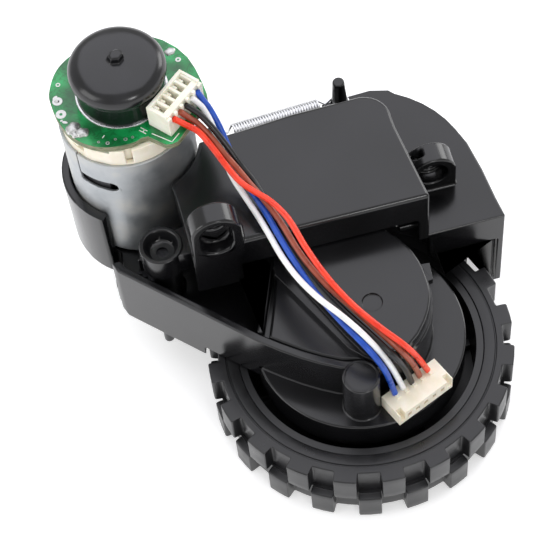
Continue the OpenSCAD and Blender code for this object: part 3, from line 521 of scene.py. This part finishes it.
def deckEdge(p):
    onPlateau = p.z > 32.5
    return edgeWidths["armDeck"]["plateau" if onPlateau else "rest"]


def makeHousing():
    for name, node, body, widthAt, change in [
            ("housingFrame", "frame", "frame", frameEdge, None),
            ("armCase", "arm_case", "arm", armEdge, None),
            ("armDeck", "case_deck", "arm", deckEdge, None),
            ("gearCover", "gear_cover", "arm", coverEdge, shallowGateMark)]:
        remake(name, node, mouldedAbs, body, "housing_plastic",
               max(edgeWidths[name].values()), widthAt, change, 3)
    remake("wheelRim", "rim", satinAbs, "wheel", "housing_plastic", edgeWidths["wheelRim"],
           lambda p: edgeWidths["wheelRim"])


makeHousing()
print("housing made")

# Rubber tyre: two staggered rows of lugs, flush with the sidewalls. The faces are given
# as radius and depth below the upper side, and radius and height over the lower side
tyreShape = {"outer": 33.0, "base": 30.7, "low": 0.8, "high": 17.0, "round": 0.3,
             "count": 20, "halfWidth": 2.5, "firstTop": -3, "firstLow": 6,
             "levels": [3, 5, 7, 11, 13, 15], "gap": 0.3, "ribHalf": 0.35, "ribLevel": 0.3,
             "upperFace": [(30.0, 0), (29.3, 0), (29.2, 0.14), (29.12, 0.25),
                           (28.95, 0.25), (28.87, 0.12), (28.78, 0), (26.66, 0),
                           (26.56, 0.04), (26.52, 0.14)],
             "lowerFace": [(26.52, 0.4), (26.7, 0.1), (27, 0), (29.9, 0)]}
tyrePitch = 360 / tyreShape["count"]
tyreMiddle = (tyreShape["low"] + tyreShape["high"]) / 2
# A lug's flank: mm inside its edge, and level from the tyre's base to its top
flankStops = [(-0.5, 0), (-0.22, 0.03), (-0.09, 0.12), (-0.04, 0.4), (0.0, 0.76),
              (0.06, 0.91), (0.16, 0.98), (0.34, 1)]


def flankLevel(inside):
    if inside <= flankStops[0][0]:
        return 0.0
    for (a, low), (b, high) in zip(flankStops, flankStops[1:]):
        if inside <= b:
            return low + (high - low) * (inside - a) / (b - a)
    return 1.0


def tyreRadius(angle, height):
    s = tyreShape
    level = 0.0
    for first, inward in ((s["firstTop"], height - tyreMiddle - s["gap"]),
                          (s["firstLow"], tyreMiddle - s["gap"] - height)):
        off = abs((angle - first + tyrePitch / 2) % tyrePitch - tyrePitch / 2)
        inside = s["halfWidth"] - math.radians(off) * s["outer"]
        level = max(level, flankLevel(inside) * flankLevel(inward))
    rib = s["ribLevel"] if abs(height - tyreMiddle) < s["ribHalf"] else 0.0
    return s["base"] + (s["outer"] - s["base"]) * max(level, rib)


def tyreAngles():  # every lug's middle and the stops of its flanks
    s = tyreShape
    angles = set()
    for first in (s["firstTop"], s["firstLow"]):
        for n in range(s["count"]):
            centre = first + n * tyrePitch
            angles.add(round(centre % 360, 4))
            for side in (-1, 1):
                for stop, _ in flankStops:
                    across = math.degrees((s["halfWidth"] - stop) / s["outer"])
                    angles.add(round((centre + side * across) % 360, 4))
    return sorted(angles)


def tyreHeights():
    s = tyreShape
    heights = s["levels"] + [s["low"] + s["round"], s["high"] - s["round"]]
    for side in (-1, 1):
        heights += [tyreMiddle + side * (s["ribHalf"] + step) for step in (-0.01, 0.01)]
        heights += [tyreMiddle + side * (s["gap"] + stop) for stop, _ in flankStops]
    return sorted(set(round(h, 4) for h in heights))


def makeTyre():
    s = tyreShape
    angles, heights = tyreAngles(), tyreHeights()
    turns = [i * math.pi / 8 for i in range(1, 5)]
    work = bmesh.new()
    rings = []
    for angle in angles:
        foot, head = tyreRadius(angle, heights[0]), tyreRadius(angle, heights[-1])
        line = [(foot - s["round"] * (1 - math.cos(t)), s["low"] + s["round"] * (1 - math.sin(t)))
                for t in turns[::-1]]
        line += [(tyreRadius(angle, h), h) for h in heights]
        line += [(head - s["round"] * (1 - math.cos(t)),
                  s["high"] - s["round"] * (1 - math.sin(t))) for t in turns]
        line += [(r, s["high"] - depth) for r, depth in s["upperFace"]]
        line += [(r, s["low"] + lift) for r, lift in s["lowerFace"]]
        c, sn = math.cos(math.radians(angle)), math.sin(math.radians(angle))
        rings.append([work.verts.new((r * c * mm, r * sn * mm, h * mm)) for r, h in line])
    for one, two in zip(rings, rings[1:] + rings[:1]):
        for i in range(len(one)):
            j = (i + 1) % len(one)
            work.faces.new((one[i], two[i], two[j], one[j]))
    addPiece("tyreTread", meshFrom("tyreTread", work, 50), tyreRubber, "wheel",
             "tyre_rubber", "tyre")


makeTyre()
print("tyre made")

motorAxis = (-37.5, 45.1)


def motorPlace(x, y):  # places on the motor are from its axis
    return motorAxis[0] + x, motorAxis[1] + y


def aroundMotor(radius, degrees, height):
    x, y = motorPlace(radius * math.cos(math.radians(degrees)),
                      radius * math.sin(math.radians(degrees)))
    return x * mm, y * mm, height * mm


def thicken(piece, wall):  # a sheet's thickness inward, and its edges
    sheet = piece.modifiers.new("sheet", "SOLIDIFY")
    sheet.thickness = wall * mm
    sheet.offset = -1
    sheet.use_even_offset = True
    softenEdges(piece, 0.2, 50)


# Motor's can, rolled from sheet: its seam is open at the top and ends in a round-ended slot
canShape = {"radius": 13.85, "bottom": 9.0, "low": 23.6, "high": 56.6, "wall": 0.75,
            "seam": (-148.6, -147.0), "slot": (-148.6, -110.5), "slotLow": 47.2,
            "slotHeight": 3.0, "slotEnd": (1, 0.7, 0.4, 0.18, 0.06, 0.0), "slotRows": (2, 3),
            "seamRows": (4, 5)}


def makeCan():
    s = canShape
    radius, slotFrom, slotTo = s["radius"], *s["slot"]
    seamFrom, seamTo = s["seam"]
    middle, half = s["slotLow"] + s["slotHeight"] / 2, s["slotHeight"] / 2
    perDegree = radius * math.pi / 180
    ends = [slotTo - half / perDegree * f for f in s["slotEnd"]]
    angles = sorted(set([round(a, 3) for a in [seamFrom, seamTo] + ends]
                        + [a for a in range(-180, 180, 4)
                           if not slotTo - 6 < a < slotTo + 1
                           and not seamFrom - 1 < a < seamTo + 1]))
    heights = [s["low"] + 0.9, 36, s["slotLow"], middle, s["slotLow"] + s["slotHeight"], 53,
               s["high"]]
    foot = [(s["bottom"], s["low"]), (radius - 0.9, s["low"]), (radius - 0.3, s["low"] + 0.25)]
    work = bmesh.new()
    columns = []
    for angle in angles:
        inward = (slotTo - angle) * perDegree / half
        shut = math.sqrt(max(1 - (1 - inward) ** 2, 0.003)) if 0 <= inward < 1 else 1
        rows = list(heights)
        rows[2], rows[4] = middle - half * shut, middle + half * shut
        line = foot + [(radius, h) for h in rows]
        columns.append([work.verts.new(aroundMotor(r, angle, h)) for r, h in line])
    work.faces.new([column[0] for column in columns][::-1])
    for angle, one, two in zip(angles, columns, columns[1:] + columns[:1]):
        for i in range(len(one) - 1):
            row = i - len(foot)
            inSlot = slotFrom <= angle < slotTo - 0.01 and row in s["slotRows"]
            inSeam = seamFrom <= angle < seamTo - 0.01 and row in s["seamRows"]
            if not inSlot and not inSeam:
                work.faces.new((one[i], two[i], two[i + 1], one[i + 1]))
    piece = addPiece("motorCan", meshFrom("motorCan", work, 50), zincSteel, "arm",
                     "can_steel", "motor_can")
    thicken(piece, s["wall"])


# Openings of the bell's wall: middle and half width in degrees, lowest height. The rings
# are its plate and lining; the blocks stand at each of their turns
bellShape = {"radius": 13.2, "wall": 1.2, "low": 54.1, "high": 61.2, "edge": 0.15,
             "openings": [(-96, 3.4, 56.8), (-6, 3.4, 56.8), (84, 3.4, 56.8),
                          (174, 3.4, 56.8), (-146, 7, 58.2), (-122, 9, 60.3),
                          (34, 7, 58.2), (-40, 9, 60.3)],
             "rings": [[(2.3, 59.2), (11.9, 59.2), (11.9, 60.4), (2.3, 60.4)],
                       [(11.1, 54.6), (11.85, 54.6), (11.85, 59.3), (11.1, 59.3)]],
             "blocks": [((-150, 30), 10.4, 13.1, 1.0, 58.8, 61.2),
                        ((-70, 20, 110, 200), 9.4, 11.4, 1.6, 60.3, 61.25)]}


def shortTurn(degrees):  # the same turn between -180 and 180
    return (degrees + 180) % 360 - 180


def makeBell():
    s = bellShape
    angles = {float(a) for a in range(-180, 180, 5)}
    for middle, half, _ in s["openings"]:
        angles = {a for a in angles if abs(shortTurn(a - middle)) > half + 1}
    for middle, half, _ in s["openings"]:
        angles |= {shortTurn(middle - half), shortTurn(middle + half)}
    angles = sorted(angles)
    heights = sorted({s["low"], s["high"]} | {low for _, _, low in s["openings"]})
    work = bmesh.new()
    columns = [[work.verts.new(aroundMotor(s["radius"], a, h)) for h in heights]
               for a in angles]
    for k, (one, two) in enumerate(zip(columns, columns[1:] + columns[:1])):
        following = angles[(k + 1) % len(angles)] + (360 if k == len(angles) - 1 else 0)
        centre = (angles[k] + following) / 2
        for i in range(len(heights) - 1):
            if not any(abs(shortTurn(centre - middle)) < half and heights[i] >= low - 0.01
                       for middle, half, low in s["openings"]):
                work.faces.new((one[i], two[i], two[i + 1], one[i + 1]))
    piece = addPiece("endBell", meshFrom("endBell", work, 50), creamNylon, "arm",
                     "cream_nylon", "end_bell")
    thicken(piece, s["wall"])
    inner = bmesh.new()
    for profile in s["rings"]:
        revolve(inner, profile, motorAxis, 64)
    for degrees, x0, x1, half, low, high in s["blocks"]:
        for turn in degrees:
            block(inner, motorAxis, turn, x0, x1, -half, half, low, high)
    plate = addPiece("bellPlate", meshFrom("bellPlate", inner), creamNylon, "arm",
                     "cream_nylon")
    softenEdges(plate, s["edge"])


# The outline is straight at the connector's corner, and one smooth curve round the rest
boardShape = {
    "top": 62.9, "thick": 1.6, "edge": 0.12, "straight": (8, 19), "curveSteps": 5,
    "outline": [(-14.1, 4.5), (-14.2, 1.2), (-13.5, -3.2), (-12.0, -7.0), (-9.6, -9.9),
                (-6.2, -11.9), (-2.6, -12.6), (0.4, -12.5), (2.0, -11.9), (3.3, -11.9),
                (6.4, -14.9), (7.6, -15.1), (8.9, -14.8), (17.0, -6.9), (17.2, -5.0),
                (16.9, -1.8), (16.3, 2.2), (15.4, 5.4), (13.8, 8.4), (11.4, 11.2),
                (8.0, 13.5), (4.0, 14.8), (0.0, 14.9), (-4.4, 14.2), (-8.8, 12.2),
                (-12.0, 9.2)]}
boardTop = boardShape["top"]


def makeBoard():
    work = bmesh.new()
    corners, (start, stop) = boardShape["outline"], boardShape["straight"]
    curved = smoothPath([(x, y, 0) for x, y in corners[stop:] + corners[:start + 1]],
                        boardShape["curveSteps"])
    outline = [(p.x, p.y) for p in curved] + corners[start + 1:stop]
    slab(work, [motorPlace(x, y) for x, y in outline], boardTop - boardShape["thick"], boardTop)
    mesh = meshFrom("circuitBoard", work)
    piece = addPiece("circuitBoard", mesh, [solderMask, laminateEdge], "arm",
                     "board_laminate", "board")
    for face in mesh.polygons:
        face.material_index = 0 if abs(face.normal.z) > 0.5 else 1
    softenEdges(piece, boardShape["edge"])


# Rings are x, y, outer and inner radius; pads x, y, turn and half sizes; strokes are lines
boardMarks = {
    "rings": [(-4.9, -11.2, 0.42, 0.2), (-6.6, -10.4, 0.3, 0.14), (-3.2, -10.7, 0.3, 0.14),
              (-1.2, -11.3, 0.42, 0.2), (0.3, -11.2, 0.3, 0.14), (13.4, 5.2, 0.6, 0.26),
              (-11.9, 6.0, 0.5, 0.26), (12.2, 1.6, 0.35, 0.15), (13.4, -0.4, 0.35, 0.15),
              (-12.8, 1.9, 1.05, 0.32), (-12.7, -1.5, 1.1, 0.34)],
    "pads": [(-13.1, 2.9, 35, 0.6, 0.35), (-12.3, -3.7, -30, 0.6, 0.3),
             (-12.9, -3.1, 20, 0.3, 0.2)],
    "strokes": [[(4.3, -11.5), (7.7, -14.6), (9.5, -13.0)], [(2.4, -9.4), (3.4, -10.5)],
                [(2.0, -10.0), (3.0, -11.1)], [(3.0, -10.1), (2.6, -10.5)],
                [(14.2, -4.6), (15.4, -4.0), (15.9, -5.0)], [(-5.6, -9.6), (-5.2, -9.2)]],
    "ringHigh": 0.05, "padHigh": 0.06, "strokeHalf": 0.1, "strokeHigh": 0.03, "sides": 20}


def strokeMark(work, points):
    half, high = boardMarks["strokeHalf"], boardMarks["strokeHigh"]
    for (x0, y0), (x1, y1) in zip(points, points[1:]):
        long = math.dist((x0, y0), (x1, y1))
        turn = math.degrees(math.atan2(y1 - y0, x1 - x0))
        block(work, motorPlace(x0, y0), turn, -half, long + half, -half, half,
              boardTop - high, boardTop + high)


def makeBoardMarks():
    tin, ink = bmesh.new(), bmesh.new()
    high, sides = boardMarks["ringHigh"], boardMarks["sides"]
    for x, y, outer, inner in boardMarks["rings"]:
        profile = [(inner, boardTop - high), (outer, boardTop - high),
                   (outer, boardTop + high), (inner, boardTop + high)]
        revolve(tin, profile, motorPlace(x, y), sides)
    for x, y, turn, long, wide in boardMarks["pads"]:
        outline = [(long * math.cos(a), wide * math.sin(a))
                   for a in [i * math.tau / sides for i in range(sides)]]
        slab(tin, turned(outline, motorPlace(x, y), turn), boardTop - high,
             boardTop + boardMarks["padHigh"])
    for points in boardMarks["strokes"]:
        strokeMark(ink, points)
    addPiece("boardPads", meshFrom("boardPads", tin), solder, "arm", "solder")
    addPiece("boardLines", meshFrom("boardLines", ink), silkscreen, "arm", "board_laminate")


# Hand-soldered joints: x, y, radius, height and the turn of their uneven rim
solderBlobs = [(-11.0, -5.6, 1.5, 0.75, 0.3), (-9.4, -7.2, 1.35, 0.7, 2.1),
               (-10.9, -7.2, 0.9, 0.5, 4.0), (12.2, 7.7, 1.1, 0.5, 1.0),
               (-12.9, 1.9, 0.5, 0.3, 2.0), (5.9, 13.0, 0.9, 0.5, 3.0)]
blobSteps = {"levels": 5, "sides": 28, "sunk": 0.05}


def makeSolderBlobs():
    work = bmesh.new()
    levels, sides, sunk = blobSteps.values()
    for x, y, radius, height, phase in solderBlobs:
        centre = motorPlace(x, y)
        rings = []
        for level in range(levels):
            t = level / levels * math.pi / 2
            rings.append([])
            for i in range(sides):
                a = i * math.pi / (sides // 2)
                r = radius * math.cos(t) * (1 + 0.13 * math.sin(2 * a + phase)
                                            + 0.07 * math.sin(5 * a))
                rings[-1].append(work.verts.new((
                    (centre[0] + r * math.cos(a)) * mm, (centre[1] + r * math.sin(a)) * mm,
                    (boardTop - sunk + (height + sunk) * math.sin(t)) * mm)))
        rings.append([work.verts.new((centre[0] * mm, centre[1] * mm,
                                      (boardTop + height) * mm))])
        work.faces.new(rings[0][::-1])
        joinRings(work, rings)
    addPiece("solderBlobs", meshFrom("solderBlobs", work), solder, "arm", "solder",
             "solder_joints")


# Chips: x, y, turn, half sizes and height
boardChips = [(-5.4, 4.9, 20, 0.8, 0.5, 0.45), (8.9, -3.0, 41, 1.0, 0.6, 0.9),
              (4.6, 4.9, 75, 0.5, 0.3, 0.35)]


def makeBoardChips():
    work = bmesh.new()
    for x, y, turn, long, wide, high in boardChips:
        block(work, motorPlace(x, y), turn, -long, long, -wide, wide, boardTop,
              boardTop + high)
    piece = addPiece("boardChips", meshFrom("boardChips", work), chipEpoxy, "arm",
                     "chip_black", "board_parts")
    softenEdges(piece, 0.08)


# Soft cap over the motor's end, and the sprue left on it: an uneven stub with flat sides.
# The stub's levels are the scale of its outline, a shift and a height
capShape = {
    "shift": (0.5, 0.9), "steps": 112, "ringSteps": 96, "stubEdge": 0.12,
    "profile": [(8.2, 0), (9.25, 0), (9.3, 0.4), (9.15, 1.2), (9.1, 4.6), (9.2, 5.3),
                (9.5, 5.75), (9.85, 6.15), (10.05, 6.7), (10.1, 7.35), (10.0, 8.05),
                (9.75, 8.7), (9.35, 9.25), (8.8, 9.7), (8.1, 10.05), (7.2, 10.3),
                (6.0, 10.5), (4.4, 10.65), (2.4, 10.75), (0, 10.78), (0, 9.8), (4.6, 9.7),
                (6.8, 9.4), (8, 8.6), (8.4, 7.4), (8.2, 5.6)],
    "stub": [(2.1, -0.3), (1.7, 1.1), (0.5, 1.9), (-1.3, 1.4), (-2.1, 0.1), (-1.5, -1.4),
             (0.6, -1.8)],
    "stubLevels": [(1, 0, 10.6), (0.82, 0.1, 10.95), (0.74, 0.3, 11.95), (0.5, 0.4, 12.2)],
    "ring": [(8.9, 0), (9.65, 0), (9.7, 0.1), (9.65, 0.25), (9.5, 0.32), (8.9, 0.32)]}
capCentre = motorPlace(*capShape["shift"])


def makeCap():
    s = capShape
    work = bmesh.new()
    revolve(work, [(r, boardTop + z) for r, z in s["profile"]], capCentre, s["steps"])
    addPiece("motorCap", meshFrom("motorCap", work, 60), dippedPvc, "arm", "cap_rubber",
             "motor_cap")
    stub = bmesh.new()
    rings = [[stub.verts.new(((capCentre[0] + x * scale + shift) * mm,
                              (capCentre[1] + y * scale) * mm, (boardTop + high) * mm))
              for x, y in s["stub"]] for scale, shift, high in s["stubLevels"]]
    stub.faces.new(rings[0][::-1])
    stub.faces.new(rings[-1])
    joinRings(stub, rings)
    nub = addPiece("capStub", meshFrom("capStub", stub), dippedPvc, "arm", "cap_rubber")
    softenEdges(nub, s["stubEdge"], 25)


def makeCapRing():
    work = bmesh.new()
    revolve(work, [(r, boardTop + z) for r, z in capShape["ring"]], capCentre,
            capShape["ringSteps"])
    addPiece("capRing", meshFrom("capRing", work), tinnedSteel, "arm", "steel", "cap_ring")


# Blocks of the header: from and to in x, in y and in height over the board. The ribs and
# the contacts' boxes are half widths, then y and height, and repeat at the pitch
headerShape = {
    "place": (10.3, -7.5), "turn": 41, "pitch": 2, "ways": 5, "edge": 0.13,
    "walls": [(-5.7, 5.7, -2.85, 2.85, 0, 3.3),
              (-5.7, -5.05, -2.2, 2.85, 3.2, 5.9), (-5.7, -5.05, -2.85, -2.1, 3.2, 5.3),
              (5.05, 5.7, -2.2, 2.85, 3.2, 5.9), (5.05, 5.7, -2.85, -2.1, 3.2, 5.3),
              (-5.2, 5.2, 2.05, 2.85, 3.2, 5.9), (-5.2, 5.2, -2.2, -0.75, 3.2, 5.45)],
    "ribs": [(0.34, -0.85, 2.15, 3.2, 5.6), (0.42, -2.85, -2.1, 3.2, 5.25)],
    "contacts": [(0.32, 0.9, 2.1, 3.2, 4.9), (0.25, -0.8, -0.2, 3.2, 4.4)]}


def makeHeader():
    s = headerShape
    blocks = list(s["walls"])
    for count, kinds in ((s["ways"] + 1, s["ribs"]), (s["ways"], s["contacts"])):
        for i in range(count):
            x = s["pitch"] * (i - (count - 1) / 2)
            blocks += [(x - half, x + half, *rest) for half, *rest in kinds]
    work = bmesh.new()
    for x0, x1, y0, y1, low, high in blocks:
        block(work, motorPlace(*s["place"]), s["turn"], x0, x1, y0, y1, boardTop + low,
              boardTop + high)
    piece = addPiece("boardHeader", meshFrom("boardHeader", work), ivoryNylon, "arm",
                     "cream_nylon", "header")
    softenEdges(piece, s["edge"])


# Spring from the arm's hook to the housing's post: the eyes' half sizes, the necks' place
# from them, and where the coils begin, in mm
springShape = {"hook": (-19.5, 47.4, 36.5), "post": (9.2, 49, 36.5), "turns": 32,
               "coil": 1.9, "wire": 0.25, "steps": 20, "sides": 8, "eye": (2.0, 1.85),
               "eyeSteps": 14, "neck": (3.2, 0.4), "coilsFrom": 4.5}


def makeSpring():
    s = springShape
    hook, post = Vector(s["hook"]), Vector(s["post"])
    along, up = (post - hook).normalized(), Vector((0, 0, 1))
    aside = Vector((-along.y, along.x, 0))
    coils = (post - hook).length - 2 * s["coilsFrom"]

    def springEnd(place, way):  # the neck last
        turns = [math.pi * (0.25 + 1.6 * i / s["eyeSteps"]) for i in range(s["eyeSteps"] + 1)]
        eye = [place + way * s["eye"][0] * along * math.cos(a)
               + s["eye"][1] * aside * math.sin(a) for a in turns]
        return eye[::-1] + [place + way * along * s["neck"][0] + aside * s["neck"][1]]

    line = springEnd(hook, 1)
    steps = s["turns"] * s["steps"]
    for i in range(steps + 1):
        a = 2 * math.pi * i / s["steps"]
        line.append(hook + along * (s["coilsFrom"] + coils * i / steps)
                    + s["coil"] * (math.cos(a) * aside + math.sin(a) * up))
    line += springEnd(post, -1)[::-1]
    work = bmesh.new()
    sides, rings = s["sides"], []
    normal = up
    for i, point in enumerate(line):
        ahead = (line[min(i + 1, len(line) - 1)] - line[max(i - 1, 0)]).normalized()
        normal = (normal - ahead * normal.dot(ahead)).normalized()
        other = ahead.cross(normal)
        rings.append([work.verts.new((point + s["wire"] * (
            math.cos(2 * math.pi * j / sides) * normal
            + math.sin(2 * math.pi * j / sides) * other)) * mm) for j in range(sides)])
    joinRings(work, rings)
    work.faces.new(rings[0][::-1])
    work.faces.new(rings[-1])
    piece = addPiece("armSpring", meshFrom("armSpring", work), springSteel, None, "steel",
                     "spring")
    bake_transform(piece)


makeCan()
makeBell()
makeBoard()
makeBoardMarks()
makeSolderBlobs()
makeBoardChips()
makeCap()
makeCapRing()
makeHeader()
makeSpring()
print("motor and board made")

# CAD nodes that stay as they are, with their real finish
nodeFinishes = {
    "pivot_pin": blackSteel, "cover_screws": blackSteel, "axle_pins": tinnedSteel,
    "shaft_bushes": bronze, "motor_screws": tinnedSteel, "motor_magnets": ferrite,
    "motor_bushes": bronze, "brushes": carbon, "header_pins": contactBrass,
    "rotor_shaft": tinnedSteel, "motor_pinion": bronze, "armature": coreSteel,
    "windings": copper, "commutator": copper, "speed_magnet": ferrite,
    "gear_1": gearAcetal, "gear_2": gearAcetal, "gear_3": gearAcetal,
    "output_gear": gearAcetal, "wheel_shaft": tinnedSteel, "shaft_clip": springSteel,
    "hub_screw": tinnedSteel, "hub_cap": satinAbs, "plug_contacts": contactBrass,
}


def finishNodes():
    for node, material in nodeFinishes.items():
        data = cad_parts[node].data
        if not data.materials:
            data.materials.append(material)
        for i in range(len(data.materials)):
            data.materials[i] = material


finishNodes()
print("inner parts finished")

# Sizes and places in metres, power in watts
lights = {
    "overheadSoftbox": {"place": (0.10, 0.40, 0.90), "size": 1.3, "power": 6.8,
                        "colour": (0.92, 0.92, 1.0)},
    "leftSoftbox": {"place": (-0.55, -0.10, 0.26), "size": 0.35, "power": 0.9,
                    "colour": (1, 1, 1)},
    "frontSoftbox": {"place": (0.18, -0.70, 0.42), "size": 0.18, "power": 1.1,
                     "colour": (1, 1, 1)},
    "rightSoftbox": {"place": (0.58, 0.34, 0.24), "size": 0.3, "power": 1.2,
                     "colour": (1, 1, 1)},
}
studio = {"lightsAim": (0, 0.015, 0.03), "floorHalf": 2.5, "paper": 0.86, "paperGlow": 0.4,
          "skyLight": 0.7, "skySeen": 0.4}


def addMath(tree, operation, one, two, **settings):
    return addNode(tree, "ShaderNodeMath", {0: one, 1: two}, operation=operation,
                   **settings).outputs[0]


def makeFloor():
    work = bmesh.new()
    bmesh.ops.create_grid(work, x_segments=1, y_segments=1, size=studio["floorHalf"])
    floor = bpy.data.objects.new("studioFloor", meshFrom("studioFloor", work))
    scene.collection.objects.link(floor)
    # White paper that glows only where it is seen, so it doesn't light the part
    material = bpy.data.materials.new("paperSweep")
    material.use_nodes = True
    tree = material.node_tree
    tree.nodes.clear()
    path = addNode(tree, "ShaderNodeLightPath").outputs
    seen = addMath(tree, "ADD", path["Is Camera Ray"], path["Is Glossy Ray"])
    seen = addMath(tree, "ADD", seen, path["Is Transmission Ray"], use_clamp=True)
    glow = addNode(tree, "ShaderNodeEmission", {
        "Color": (1, 1, 1, 1), "Strength": addMath(tree, "MULTIPLY", seen, studio["paperGlow"])})
    paper = addNode(tree, "ShaderNodeBsdfDiffuse", {"Color": (*[studio["paper"]] * 3, 1)})
    both = addNode(tree, "ShaderNodeAddShader", {0: paper.outputs[0], 1: glow.outputs[0]})
    addNode(tree, "ShaderNodeOutputMaterial", {"Surface": both.outputs[0]})
    floor.data.materials.append(material)


def makeLights():
    for name, values in lights.items():
        data = bpy.data.lights.new(name, "AREA")
        data.shape = "SQUARE"
        data.size = values["size"]
        data.energy = values["power"]
        data.color = values["colour"]
        lamp = bpy.data.objects.new(name, data)
        scene.collection.objects.link(lamp)
        lamp.location = values["place"]
        aim = Vector(studio["lightsAim"]) - lamp.location
        lamp.rotation_mode = "QUATERNION"
        lamp.rotation_quaternion = aim.to_track_quat("-Z", "Y")


def makeSky():  # white behind the part, dimmer as a light
    world = bpy.data.worlds.new("studio")
    scene.world = world
    world.use_nodes = True
    tree = world.node_tree
    sky = tree.nodes["Background"]
    sky.inputs["Color"].default_value = (1, 1, 1, 1)
    path = addNode(tree, "ShaderNodeLightPath").outputs
    seen = addNode(tree, "ShaderNodeMath", {
        0: path["Is Camera Ray"], 1: studio["skySeen"], 2: studio["skyLight"]},
        operation="MULTIPLY_ADD")
    tree.links.new(seen.outputs[0], sky.inputs["Strength"])


makeFloor()
makeLights()
makeSky()
print("floor and lights made")
